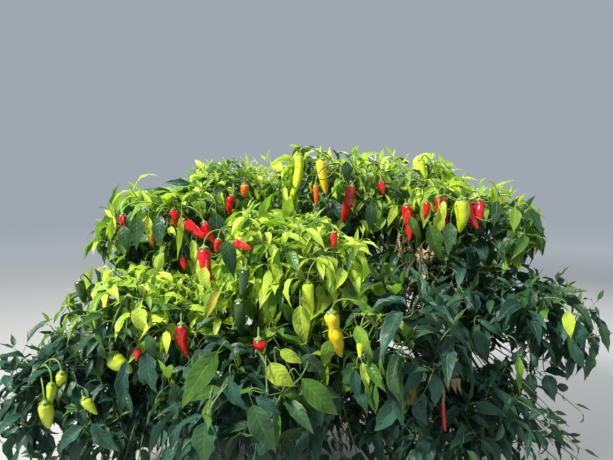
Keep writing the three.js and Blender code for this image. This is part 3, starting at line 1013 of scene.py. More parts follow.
def leaf_tree() -> GrowthTree:
    """The tree that sets a leaf of one of the shapes on each point, turned and sized as the point says.

    Returns:
        The tree.
    """
    made = GrowthTree("leaf_sprays", {"Leaf shapes": "Collection", "Size": "Float", "Finish": "Material"})
    taken = {"Collection": made.entry["Leaf shapes"], "Separate Children": True, "Reset Children": True}
    shapes = made.node("GeometryNodeCollectionInfo", taken)
    blade = made.named("blade_size", "FLOAT_VECTOR")
    sized = made.node("ShaderNodeVectorMath", {0: blade, "Scale": made.entry["Size"]}, operation="SCALE")
    leaves = made.node(
        "GeometryNodeInstanceOnPoints",
        {
            "Points": made.entry["Geometry"],
            "Instance": shapes.outputs["Instances"],
            "Pick Instance": True,
            "Instance Index": made.named("leaf_shape", "INT"),
            "Rotation": made.named("pose", "QUATERNION"),
            "Scale": sized.outputs[0],
        },
    )
    made.end_with_finish(leaves.outputs["Instances"])
    return made


def twig_tree() -> GrowthTree:
    """The tree that wraps an angular stem round each run of edges, as thick as its points say.

    Returns:
        The tree.
    """
    made = GrowthTree("twigs_along_paths", {"Sides": "Int", "Thickness": "Float", "Finish": "Material"})
    paths = made.node("GeometryNodeMeshToCurve", {"Mesh": made.entry["Geometry"]})
    ring = {"Resolution": made.entry["Sides"], "Radius": 1.0}
    section = made.node("GeometryNodeCurvePrimitiveCircle", ring)
    girth = made.named("girth", "FLOAT")
    thick = made.node("ShaderNodeMath", {0: made.entry["Thickness"], 1: girth}, operation="MULTIPLY")
    stems = made.node(
        "GeometryNodeCurveToMesh",
        {
            "Curve": paths.outputs["Curve"],
            "Profile Curve": section.outputs["Curve"],
            "Scale": thick.outputs[0],
            "Fill Caps": True,
        },
    )
    made.end_with_finish(stems.outputs["Mesh"])
    return made


class ShaderWork(TreeWork):
    """A shader tree in the making."""

    def value(self, operation: str, *terms: object) -> Socket:
        """The result of a Math node on sockets or numbers."""
        return self.node("ShaderNodeMath", dict(enumerate(terms)), operation=operation).outputs[0]

    def times(self, first: object, second: object) -> Socket:
        """One value times another."""
        return self.value("MULTIPLY", first, second)

    def eased(self, value: Socket, low: float, high: float, start: float = 0.0, end: float = 1.0) -> Socket:
        """A value eased from start to end while it runs from low to high."""
        ends = {"Value": value, "From Min": low, "From Max": high, "To Min": start, "To Max": end}
        return self.node("ShaderNodeMapRange", ends, interpolation_type="SMOOTHSTEP").outputs["Result"]

    def noise(self, place: Socket, scale: float, detail: float = 3.0) -> Socket:
        """Noise of one scale at a place."""
        inputs = {"Vector": place, "Scale": scale, "Detail": detail}
        return self.node("ShaderNodeTexNoise", inputs).outputs["Fac"]

    def split(self, place: Socket) -> tuple[Socket, Socket]:
        """The first and the second number of a place."""
        parts = self.node("ShaderNodeSeparateXYZ", {0: place}).outputs
        return parts[0], parts[1]

    def mixed(self, share: object, first: object, second: object) -> Socket:
        """Two colours mixed by a share, each a socket or three numbers."""
        inputs = {0: share, 6: first, 7: second}
        return self.node("ShaderNodeMix", inputs, data_type="RGBA").outputs[2]

    def bump(self, height: Socket, strength: float, depth: float) -> Socket:
        """A Bump node's normal for a height."""
        inputs = {"Strength": strength, "Distance": depth, "Height": height}
        return self.node("ShaderNodeBump", inputs).outputs["Normal"]


class ShaderGroup(ShaderWork):
    """A shader node group with named inputs and outputs, built once and placed in several materials."""

    def __init__(self, name: str, numbers: dict[str, float], outputs: Sequence[str]) -> None:
        """Starts the group, which takes a place and named numbers.

        Args:
            name: the group's name.
            numbers: the first value of each number that goes in.
            outputs: the names of the values that come out.
        """
        super().__init__(bpy.data.node_groups.new(name, "ShaderNodeTree"))
        made = self.add_sockets("INPUT", {"Place": "Vector", **{key: "Float" for key in numbers}})
        for key, number in numbers.items():
            made[key].default_value = number
        self.add_sockets("OUTPUT", {key: "Float" for key in outputs})
        self.entry = self.node("NodeGroupInput").outputs
        self.exit = self.node("NodeGroupOutput").inputs

    def give(self, key: str, value: Socket) -> None:
        """Sends a value out of the group."""
        self.feed(self.exit[key], value)


def venation_group() -> ShaderGroup:
    """The ribs of a leaf: a midrib, side ribs swept forward, the margin's mask for a painted highlight along
    the edge, and a blade puffed between ribs.

    Returns:
        The group.
    """
    group = ShaderGroup(
        "leaf_venation", {"Side ribs": 8.0, "Sweep": 0.16}, ("Ribs", "Stalk", "Margin", "Tip", "Height")
    )
    across, along = group.split(group.entry["Place"])
    side = group.value("ABSOLUTE", group.value("SUBTRACT", group.times(across, 2.0), 1.0))
    midrib = group.eased(side, 0.03, 0.11, 1.0, 0.0)
    sweep = group.times(group.value("POWER", side, 1.15), group.entry["Sweep"])
    swept = group.value("SUBTRACT", along, sweep)
    count = group.times(swept, group.entry["Side ribs"])
    wave = group.value("ABSOLUTE", group.value("SUBTRACT", group.value("FRACT", count), 0.5))
    fade = group.eased(side, 0.55, 0.95, 1.0, 0.0)
    side_ribs = group.times(group.times(group.eased(wave, 0.40, 0.5), fade), 0.55)
    group.give("Ribs", group.value("MAXIMUM", midrib, side_ribs))
    group.give("Stalk", group.eased(along, -0.02, 0.0, 1.0, 0.0))
    # The margin's mask, for a painted highlight of light along the leaf's edge.
    group.give("Margin", group.eased(side, 0.90, 0.99))
    group.give("Tip", group.eased(along, 0.7, 0.98))
    puff = group.times(group.value("SUBTRACT", 0.5, wave), fade)
    group.give("Height", group.value("SUBTRACT", group.times(puff, -1.0), group.times(midrib, 0.6)))
    return group


def mottle_group() -> ShaderGroup:
    """Uneven colour on living skin: a broad drift and fine specks, from 0 to 1.

    Returns:
        The group.
    """
    group = ShaderGroup("mottle", {"Specks": 0.3}, ("Value",))
    broad = group.noise(group.entry["Place"], 9.0, 2.0)
    fine = group.noise(group.entry["Place"], 160.0)
    specks = group.times(group.value("SUBTRACT", fine, 0.5), group.entry["Specks"])
    group.give("Value", group.value("ADD", broad, specks))
    return group


class Skin(ShaderWork):
    """A material in the making, from its Principled shader."""

    def __init__(self, name: str) -> None:
        """Starts the material, with its coordinates.

        Args:
            name: the material's name.
        """
        self.material = bpy.data.materials.new(name)
        self.material.use_nodes = True
        super().__init__(self.material.node_tree)
        self.shader = self.tree.nodes["Principled BSDF"]
        places = self.node("ShaderNodeTexCoord").outputs
        self.place, self.uv = places["Object"], places["UV"]

    def attribute(self, name: str) -> Socket:
        """The values of a named attribute."""
        return self.node("ShaderNodeAttribute", attribute_name=name).outputs["Fac"]

    def drawn_out(self, share: float) -> Socket:
        """Object coordinates that draw a pattern out along Z."""
        inputs = {"Vector": self.place, "Scale": (1.0, 1.0, share)}
        return self.node("ShaderNodeMapping", inputs).outputs["Vector"]

    def shared(self, group: ShaderGroup, place: Socket) -> bpy.types.Node:
        """A shared group at a place."""
        return self.node("ShaderNodeGroup", {"Place": place}, node_tree=group.tree)

    def worn(self, colour: Socket, rough: object, normal: Socket | None = None, **levels: float) -> Material:
        """Sets what the shader shows.

        Args:
            colour: the base colour.
            rough: the roughness.
            normal: the normal of the fine relief.
            levels: other inputs of the shader, with _ for each space.

        Returns:
            The material.
        """
        inputs = {"Base Color": colour, "Roughness": rough}
        if normal is not None:
            inputs["Normal"] = normal
        inputs.update({key.replace("_", " "): level for key, level in levels.items()})
        for key, term in inputs.items():
            self.feed(self.shader.inputs[key], term)
        return self.material


class Finishes:
    """All materials of the plant and of the stage."""

    CRACK = (0.06, 0.045, 0.03)
    CORK_SPOT = (0.42, 0.36, 0.26)
    TWIG_GREEN = ((0.09, 0.17, 0.03), (0.16, 0.26, 0.05))
    TWIG_STAIN = (0.13, 0.085, 0.045)
    CAP_GREEN = ((0.10, 0.19, 0.03), (0.20, 0.30, 0.06))
    FLOOR_NEAR = ((0.36, 0.365, 0.37), (0.39, 0.395, 0.40))
    FLOOR_FAR = (0.99, 0.99, 0.99)

    def __init__(self) -> None:
        """Builds the shared groups."""
        self.venation = venation_group()
        self.mottle = mottle_group()

    def leaf(self, finish: LeafFinish) -> Material:
        """A leaf's skin: ribs, a painted highlight along the margin and mottling, a paler underside, and
        light that comes through.

        Args:
            finish: the tint's colours.

        Returns:
            The material.
        """
        skin = Skin("leaf_" + finish.name)
        ribs = skin.shared(self.venation, skin.uv).outputs
        mottle = skin.shared(self.mottle, skin.place).outputs["Value"]
        tone = skin.attribute("tone")
        light = skin.times(skin.eased(mottle, 0.3, 0.75, 0.68, 1.25), tone)
        shaded = skin.node("ShaderNodeVectorMath", {0: finish.blade, "Scale": light}, operation="SCALE")
        pale = skin.value("MAXIMUM", skin.times(ribs["Ribs"], 0.45), ribs["Stalk"])
        # The margin is paled towards the rib colour, a painted highlight along the edge.
        pale = skin.value("MAXIMUM", pale, skin.times(ribs["Margin"], 0.5))
        aged = skin.times(ribs["Tip"], skin.eased(tone, 0.8, 1.2))
        upper = skin.mixed(pale, skin.mixed(aged, shaded.outputs[0], finish.tip), finish.rib)
        underside = skin.node("ShaderNodeNewGeometry").outputs["Backfacing"]
        colour = skin.mixed(skin.times(underside, 0.38), upper, finish.rib)
        rough = skin.eased(mottle, 0.3, 0.8, finish.gloss - 0.06, finish.gloss + 0.12)
        relief = skin.bump(skin.value("ADD", ribs["Height"], skin.times(mottle, 0.5)), 0.5, 0.0018)
        glow = skin.node("ShaderNodeBsdfTranslucent", {"Color": finish.glow}).outputs["BSDF"]
        both = {"Fac": finish.through, 1: skin.shader.outputs["BSDF"], 2: glow}
        surface = skin.tree.nodes["Material Output"].inputs["Surface"]
        skin.feed(surface, skin.node("ShaderNodeMixShader", both).outputs[0])
        return skin.worn(colour, rough, relief, Specular_IOR_Level=0.4)

    def stem(self, name: str, young: Triple, old: Triple) -> Material:
        """The bark of stems, from green skin to grey-brown cork by the age of each place.

        Args:
            name: the material's name.
            young: the green skin's colour.
            old: the cork's colour.

        Returns:
            The material.
        """
        skin = Skin(name)
        cracks = skin.noise(skin.drawn_out(0.16), 520.0, 4.0)
        patches = skin.noise(skin.place, 34.0)
        corky = skin.eased(skin.value("ADD", skin.attribute("age"), skin.times(patches, 0.7)), 0.45, 0.95)
        lines = skin.times(skin.eased(cracks, 0.4, 0.6), 0.55)
        dark = skin.mixed(lines, skin.mixed(corky, young, old), self.CRACK)
        spots = skin.eased(skin.noise(skin.place, 300.0, 1.0), 0.66, 0.72, 0.0, 0.6)
        rough = skin.eased(corky, 0.0, 1.0, 0.42, 0.82)
        return skin.worn(skin.mixed(spots, dark, self.CORK_SPOT), rough, skin.bump(cracks, 0.6, 0.002))

    def green_twig(self) -> Material:
        """The skin of young twigs: green ribs with purple-brown at places.

        Returns:
            The material.
        """
        skin = Skin("green_twig")
        fine = skin.noise(skin.place, 420.0)
        green = skin.mixed(skin.eased(fine, 0.35, 0.65), *self.TWIG_GREEN)
        stained = skin.eased(skin.noise(skin.place, 22.0, 2.0), 0.56, 0.68, 0.0, 0.55)
        rough = skin.eased(fine, 0.2, 0.8, 0.35, 0.6)
        return skin.worn(skin.mixed(stained, green, self.TWIG_STAIN), rough, skin.bump(fine, 0.4, 0.001))

    def pod(self, finish: PodFinish) -> Material:
        """The glossy skin of a pod, with streaks that are less ripe and fine wrinkles.

        Args:
            finish: the skin's colours.

        Returns:
            The material.
        """
        skin = Skin("pod_" + finish.name)
        drawn = skin.drawn_out(0.3)
        streaks = skin.noise(drawn, 75.0, 2.0)
        wrinkles = skin.bump(skin.noise(drawn, 260.0, 2.0), 0.25, 0.002)
        shoulder = skin.eased(skin.split(skin.uv)[1], 0.0, 0.4, 0.55, 0.0)
        green = skin.value("ADD", shoulder, skin.eased(streaks, 0.5, 0.72, 0.0, 0.8))
        colour = skin.mixed(green, finish.ripe, finish.unripe)
        rough = skin.eased(streaks, 0.3, 0.7, 0.16, 0.30)
        return skin.worn(colour, rough, wrinkles, Coat_Weight=0.5, Coat_Roughness=0.08)

    def calyx(self) -> Material:
        """The green cap on a pod, paler at places.

        Returns:
            The material.
        """
        skin = Skin("calyx")
        fine = skin.noise(skin.place, 350.0)
        colour = skin.mixed(skin.eased(fine, 0.3, 0.7), *self.CAP_GREEN)
        return skin.worn(colour, skin.eased(fine, 0.3, 0.7, 0.35, 0.55), skin.bump(fine, 0.3, 0.001))

    def floor(self) -> Material:
        """The plain pale floor, painted paler far off where the lamps' light falls off, as painted light, so
        that it ends in the surroundings.

        Returns:
            The material.
        """
        skin = Skin("pale_floor")
        near = skin.mixed(skin.noise(skin.place, 40.0, 2.0), *self.FLOOR_NEAR)
        away = skin.node("ShaderNodeVectorMath", {0: skin.place}, operation="LENGTH").outputs["Value"]
        colour = skin.mixed(skin.eased(away, 1.0, 8.5), near, self.FLOOR_FAR)
        return skin.worn(colour, 1.0, Specular_IOR_Level=0.0)


def link_piece(mesh: Mesh, material: Material) -> Piece:
    """Makes a piece of a mesh.

    Args:
        mesh: the mesh, which has the piece's name.
        material: its finish.

    Returns:
        The piece, in the scene.
    """
    mesh.materials.append(material)
    return into_scene(mesh.name, mesh)


def settle(piece: Piece, nodes: Iterable[str]) -> None:
    """Sets a piece on the plant's body and hides the solids that it stands for.

    Args:
        piece: the finished piece.
        nodes: the solids that it stands for.
    """
    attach(piece, BODY)
    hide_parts(*nodes)
    triangles = sum(len(face.vertices) - 2 for face in piece.data.polygons)
    LOG.info("%s: %d triangles", piece.name, triangles)


class Joined:
    """Vertices, faces, UV pairs and ages of shapes that are joined in one mesh."""

    def __init__(self) -> None:
        """Starts with nothing."""
        self.points: list[Array] = []
        self.faces: list[tuple[int, ...]] = []
        self.uvs: list[Range] = []
        self.ages: list[float] = []

    def tube(
        self,
        rings: Sequence[Sequence[Array]],
        v_shares: Sequence[float],
        ages: Sequence[float],
        caps: tuple[bool, bool] = (True, True),
    ) -> None:
        """Adds a skin round rings of points, closed at its ends.

        Args:
            rings: the points of each ring, in order round it.
            v_shares: the UV's second number for each ring.
            ages: the age of each ring.
            caps: whether the first and the last ring are closed with a fan.
        """
        first, sides = len(self.points), len(rings[0])
        for ring, v, age in zip(rings, v_shares, ages):
            self.points.extend(ring)
            self.uvs.extend((k / sides, v) for k in range(sides))
            self.ages.extend([age] * sides)
        pairs = [
            [(first + i * sides + k, first + i * sides + (k + 1) % sides) for k in range(sides)]
            for i in range(len(rings))
        ]
        for row in pairs[:-1]:
            self.faces.extend((a, b, b + sides, a + sides) for a, b in row)
        for closed, i in zip(caps, (0, -1)):
            if closed:
                middle = len(self.points)
                self.points.append(np.mean(rings[i], axis=0))
                self.uvs.append((0.5, v_shares[i]))
                self.ages.append(ages[i])
                self.faces.extend((a, b, middle) if i else (b, a, middle) for a, b in pairs[i])

    def piece(self, name: str, material: Material) -> Piece:
        """The joined shapes as one piece.

        Args:
            name: the piece's name.
            material: its finish.

        Returns:
            The piece.
        """
        mesh = mesh_of(name, self.points, self.faces, self.uvs)
        add_attribute(mesh, "age", "FLOAT", self.ages)
        return link_piece(mesh, material)


def frames_along(curve: Curve, count: int) -> list[tuple[Array, Array, Array]]:
    """Places along a curve with two directions square to it that don't twist on the way.

    Args:
        curve: the curve.
        count: how many steps there are.

    Returns:
        For each place its middle and the two directions.
    """
    frames = []
    across = np.array([1.0, 0.0, 0.0])
    for i in range(count + 1):
        heading = curve.tangent(i / count)
        across = across - heading * float(across @ heading)
        if np.linalg.norm(across) < 0.1:
            across = np.cross(heading, BACKWARD)
        across = unit(across)
        frames.append((curve.point(i / count), across, np.cross(heading, across)))
    return frames


@dataclass
class StemWork:
    """The main stem, its boughs and its limbs, with the relief of their bark.

    Each mesh is given as points round the limb and steps along it, and each age at its foot and at its tip.
    """

    flare_radius: float = 0.021
    foot_radius: float = 0.0135
    fork_radius: float = 0.011
    flare_height: float = 0.038
    lobe_height: float = 0.0304
    root_lobes: float = 0.16
    bough_radius: Range = (0.0082, 0.0062)
    limb_radius: Range = (0.0058, 0.0046)
    collar: float = 0.35
    collar_reach: float = 0.02
    limb_arch: float = 0.14
    limb_margin: float = 0.008
    ridges: int = 5
    ridge_depth: float = 0.05
    node_step: float = 0.05
    node_swell: float = 0.09
    main_mesh: tuple[int, int] = (48, 80)
    bough_mesh: tuple[int, int] = (24, 60)
    limb_mesh: tuple[int, int] = (14, 40)
    main_age: Range = (1.0, 0.8)
    bough_age: Range = (0.8, 0.5)
    limb_age: Range = (0.5, 0.15)
    curves: dict[str, Curve] = field(default_factory=dict)

    # A bough's foot in the fork and the way it leaves, a limb's end in its mass and how it draws back.
    FOOT_SUNK = 0.012
    BOUGH_LEAD = np.array([0.35, 0.35, 0.6])
    LIMB_END, LIMB_BACK = 0.7, 0.95
    # The bark: a node's width, the roots at the soil, and the height and places per metre of the cork.
    NODE_WIDTH, ROOTS, ROOTS_TURN = 0.07, 5, 0.6
    COARSE, FINE = (0.09, 150), (0.05, 420)
    CORK_LEAST, CORK_BY_AGE = 0.4, 0.6

    def main_curve(self) -> Curve:
        """The line of the main stem, from the soil to its fork."""
        fork = placed(FORK)
        return Curve((np.zeros(3), raised(np.zeros(3), fork[2] / 2), fork))

    def main_radius(self, share: float) -> float:
        """Works out the main stem's radius, with its flare at the soil.

        Args:
            share: the share of its height.

        Returns:
            The radius in metres.
        """
        fading = math.exp(-share * placed(FORK)[2] / self.flare_height)
        flare = (self.flare_radius - self.foot_radius) * fading
        return self.foot_radius + (self.fork_radius - self.foot_radius) * share + flare

    def bough_curve(self, name: str) -> Curve:
        """The line of a bough, which rises before it spreads."""
        fork, tip = placed(FORK), placed(BOUGHS[name])
        return Curve((raised(fork, -self.FOOT_SUNK), fork + (tip - fork) * self.BOUGH_LEAD, tip))

    def limb_curve(self, mass: Mass) -> Curve:
        """The line of the limb from its bough's tip to the edge of its mass, in an upward arch.

        Args:
            mass: the mass that the limb carries.

        Returns:
            The line.
        """
        start = placed(BOUGHS[mass.plan.bough])
        share = min(1.0, self.LIMB_END / mass.reach(start))
        while not mass.owns(between(mass.middle, start, share), self.limb_margin):
            share *= self.LIMB_BACK
        end = between(mass.middle, start, share)
        return Curve.arched(start, end, 0.5, self.limb_arch * distance(start, end))

    def taper(self, radii: Range, length: float, collar: float = 0.0) -> Callable[[float], float]:
        """How thick a limb is along its length.

        Args:
            radii: its radius at its foot and at its tip.
            length: its length.
            collar: how much thicker its foot is, as a share.

        Returns:
            Its radius at each share of its length.
        """
        start, end = radii
        return lambda share: start + (end - start) * share + start * collar * math.exp(
            -share * length / self.collar_reach
        )

    def skin(
        self,
        joined: Joined,
        curve: Curve,
        radius_at: Callable[[float], float],
        mesh: tuple[int, int],
        ages: Range,
        root_lobes: float = 0.0,
    ) -> None:
        """Adds one limb's bark: lengthwise ridges, cork, a collar at its foot and a ring at each node.

        Args:
            joined: the mesh that the limb is added to.
            curve: the limb's line.
            radius_at: its radius at each share of its length.
            mesh: how many points each ring has, and how many steps there are along it.
            ages: the age of the bark at its foot and at its tip.
            root_lobes: how far the roots show as lobes at the soil.
        """
        sides, count = mesh
        rings, shares, years = [], [], []
        for i, (middle, across, over) in enumerate(frames_along(curve, count)):
            share = i / count
            base = radius_at(share)
            run = share * curve.length()
            node = math.exp(-(((run / self.node_step) % 1.0 - 0.5) / self.NODE_WIDTH) ** 2)
            fading = root_lobes * math.exp(-run / self.lobe_height)
            ring = []
            for k in range(sides):
                angle = FULL_TURN * k / sides
                ridge = self.ridge_depth * math.cos(self.ridges * angle + 3.0 * share)
                lobes = fading * math.cos(self.ROOTS * angle + self.ROOTS_TURN)
                outward = around(across, over, angle)
                place = middle + outward * base
                coarse = self.COARSE[0] * noise.noise(Vector(place * self.COARSE[1]))
                cork = coarse + self.FINE[0] * noise.noise(Vector(place * self.FINE[1]))
                cork *= self.CORK_LEAST + self.CORK_BY_AGE * ages[0]
                swell = 1 + ridge + lobes + self.node_swell * node + cork
                ring.append(middle + outward * base * swell)
            rings.append(ring)
            shares.append(share)
            years.append(ages[0] + (ages[1] - ages[0]) * share)
        joined.tube(rings, shares, years)

    def build(self, masses: Sequence[Mass], bark: Material, green: Material) -> None:
        """Builds the three pieces of stem and settles them.

        Args:
            masses: all masses of the crown.
            bark: the finish of the main stem and the boughs.
            green: the finish of the limbs.
        """
        main, boughs, limbs = Joined(), Joined(), Joined()
        self.skin(main, self.main_curve(), self.main_radius, self.main_mesh, self.main_age, self.root_lobes)
        main.points = [np.array([p[0], p[1], max(p[2], 0.0)]) for p in main.points]
        settle(main.piece("main_stem_bark", bark), ["main_stem"])

        for name in BOUGHS:
            curve = self.curves["bough_" + name] = self.bough_curve(name)
            radius_at = self.taper(self.bough_radius, curve.length(), self.collar)
            self.skin(boughs, curve, radius_at, self.bough_mesh, self.bough_age)
        settle(boughs.piece("boughs_bark", bark), ["bough_" + name for name in BOUGHS])

        for mass in masses:
            curve = self.curves[mass.name] = self.limb_curve(mass)
            radius_at = self.taper(self.limb_radius, curve.length())
            self.skin(limbs, curve, radius_at, self.limb_mesh, self.limb_age)
        settle(limbs.piece("limbs_bark", green), ["limb_" + mass.name for mass in masses])


@dataclass
class PodWork:
    """The pods with their caps and the twigs that they hang from.

    The cap's sections are shares of the pod's radius, along the pod and away from it. The last have teeth.
    """

    hook: float = 0.034
    stalk_sunk: float = 0.003
    twig_radius: Range = (0.0022, 0.0014)
    twig_tip_radius: float = 0.0024
    rings: int = 30
    sides: int = 20
    furrows: int = 3
    tip_round: float = 0.05
    cap_teeth: int = 5
    tooth: float = 0.12
    seed: int = 71

    CAP_SECTIONS = ((-0.42, 0.17), (-0.28, 0.20), (-0.12, 0.36), (-0.03, 0.54), (0.14, 0.74), (0.20, 0.70))
    TOOTHED_FROM = 4
    # How far a tooth spreads beside how far it reaches, and how far a pod leans to the front.
    SPREAD, FORWARD = 0.6, 0.12
    # The steps along a pod's twig, and the stretch over which its form is made smooth, with its steps.
    TWIG_STEPS, SMOOTH, SMOOTH_STEPS = 16, 0.04, 5
    # The shoulder: its first width, what it gains, and its depth in radii. The least width is at the tip.
    SHOULDER, SHOULDER_GAIN, SHOULDER_DEPTH, LEAST = 0.42, 0.58, 0.8, 0.02
    # Each pod's bend, phase, twist and depth of furrows come from these ranges.
    BENDS, PHASES, TWISTS, FURROWS = (0.1, 0.28), (0, 6), (-2.4, 2.4), (0.08, 0.2)
    # Closer rings at the shoulder, a sideways sway with its turns, and broad and fine dents.
    CROWDING, SWAY, SWAYS = 1.15, 0.06, 7
    DENT_SCALE = np.array([80, 80, 48])
    FINE_DENT, FINER = 0.4, 2.3

    def pose(self, plan: PodPlan, mass: Mass) -> tuple[Array, Array]:
        """The place of a pod's shoulder and the way that it points.

        Args:
            plan: the pod.
            mass: its mass.

        Returns:
            The place and the direction.
        """
        slant = math.radians(plan.slant)
        forward = self.FORWARD * mass.plan.facing * math.sin(slant)
        heading = unit(np.array([math.sin(slant), forward, -math.cos(slant)]))
        return mass.front_place(plan.across, plan.up, plan.depth), heading

    def twig(self, plan: PodPlan, mass: Mass, start: Array) -> Twig:
        """The twig that a pod hangs from, which hooks over before it meets the cap.

        Args:
            plan: the pod.
            mass: its mass.
            start: the place on the mass's stem that the twig grows from.

        Returns:
            The twig.
        """
        top, heading = self.pose(plan, mass)
        curve = Curve.hooked(start, top + heading * self.stalk_sunk, heading, self.hook)
        return Twig(curve, *self.twig_radius, self.TWIG_STEPS, self.twig_tip_radius)

    def radius(self, plan: PodPlan, share: float) -> float:
        """The pod's radius: a round shoulder, its form, and a round tip.

        Args:
            plan: the pod.
            share: the place along it.

        Returns:
            The radius in metres.
        """
        shares, radii = zip(*plan.form.value)
        near = np.clip(share + np.linspace(-self.SMOOTH, self.SMOOTH, self.SMOOTH_STEPS), 0, 1)
        smooth = float(np.mean(np.interp(near, shares, radii)))
        left = min(1.0, (1 - share) / self.tip_round)
        depth_in_radii = share * plan.length / plan.radius
        risen = math.sin(min(1.0, depth_in_radii / self.SHOULDER_DEPTH) * math.pi / 2)
        shoulder = self.SHOULDER + self.SHOULDER_GAIN * risen
        return plan.radius * smooth * max(math.sqrt(left * (2 - left)), self.LEAST) * shoulder

    def skin(self, joined: Joined, plan: PodPlan, mass: Mass, random: SeededRun) -> None:
        """Adds a pod's skin: a bent and slightly furrowed taper.

        Args:
            joined: the mesh of the pods of this ripeness.
            plan: the pod.
            mass: its mass.
            random: the run that its bend and furrows come from.
        """
        top, heading = self.pose(plan, mass)
        side = unit(np.cross(heading, BACKWARD))
        over = np.cross(heading, side)
        bend = around(side, over, random.within(0, FULL_TURN)) * random.within(*self.BENDS)
        phase = random.within(*self.PHASES)
        twist = random.within(*self.TWISTS)
        depth = random.within(*self.FURROWS)
        wrinkle = plan.ripeness.value.wrinkle
        rings, shares = [], []
        for i in range(self.rings):
            share = (i / (self.rings - 1)) ** self.CROWDING
            middle = top + heading * (plan.length * share) + bend * (plan.length * share**2)
            middle = middle + side * (self.SWAY * plan.radius * math.sin(self.SWAYS * share + phase))
            base = self.radius(plan, share)
            ring = []
            for k in range(self.sides):
                angle = -FULL_TURN * k / self.sides
                wave = math.cos(self.furrows * angle + phase + twist * share)
                furrow = 1 - depth * (0.5 + 0.5 * wave) * (1 - share)
                outward = around(side, over, angle)
                place = (middle + outward * base) * self.DENT_SCALE
                fine = self.FINE_DENT * noise.noise(Vector(place * self.FINER))
                dent = wrinkle * (noise.noise(Vector(place)) + fine)
                ring.append(middle + outward * base * (furrow + dent))
            rings.append(ring)
            shares.append(share)
        joined.tube(rings, shares, [0.0] * len(rings))

    def cap(self, joined: Joined, plan: PodPlan, mass: Mass) -> None:
        """Adds the green cap, a shallow cup with short teeth, that holds a pod's shoulder.

        Args:
            joined: the mesh of all caps.
            plan: the pod.
            mass: its mass.
        """
        top, heading = self.pose(plan, mass)
        side = unit(np.cross(heading, BACKWARD))
        over = np.cross(heading, side)
        count, size = self.cap_teeth * 4, plan.radius
        rings = []
        for j, (low, wide) in enumerate(self.CAP_SECTIONS):
            ring = []
            for k in range(count):
                angle = -FULL_TURN * k / count
                reach = self.tooth * math.cos(self.cap_teeth * angle) if j >= self.TOOTHED_FROM else 0.0
                outward = around(side, over, angle)
                spread = wide + self.SPREAD * reach
                ring.append(top + heading * size * (low + reach) + outward * size * spread)
            rings.append(ring)
        joined.tube(rings, np.linspace(0, 1, len(rings)), [0.0] * len(rings), (True, False))

    def build(self, masses: Sequence[Mass], finishes: Finishes) -> None:
        """Builds the pods, joined by ripeness, and their caps.

        Args:
            masses: all masses of the crown.
            finishes: the plant's materials.
        """
        random = SeededRun(self.seed)
        caps = Joined()
        named = {mass.name: mass for mass in masses}
        hung = [(named[name], plan) for name, plans in PODS.items() for plan in plans]
        for ripeness in Ripeness:
            joined, nodes = Joined(), set()
            for mass, plan in hung:
                if plan.ripeness is ripeness:
                    self.skin(joined, plan, mass, random)
                    self.cap(caps, plan, mass)
                    nodes.add("foliage_" + mass.name)
            finish = ripeness.value
            settle(joined.piece("pods_" + finish.name, finishes.pod(finish)), sorted(nodes))
        nodes = sorted("foliage_" + name for name in PODS)
        settle(caps.piece("pod_caps", finishes.calyx()), nodes)


@dataclass(frozen=True)
class Shown:
    """What shows in the photographed view and stays free: ends and half widths in pixels, and depths."""

    starts: Array
    ends: Array
    widths: Array
    depths: Array

    def hidden_by(self, pixels: Array, near: Array) -> bool:
        """Whether one of the points stands in front of something that shows.

        Args:
            pixels: where the points show, one pair in each row.
            near: their depths.

        Returns:
            True where one of them hides something.
        """
        run = self.ends - self.starts
        to_point = pixels[:, None, :] - self.starts[None]
        share = np.clip((to_point * run[None]).sum(2) / (run * run).sum(1)[None], 0, 1)
        apart = np.linalg.norm(to_point - share[..., None] * run[None], axis=2)
        return bool(((apart < self.widths[None]) & (near[:, None] < self.depths[None] + 0.01)).any())


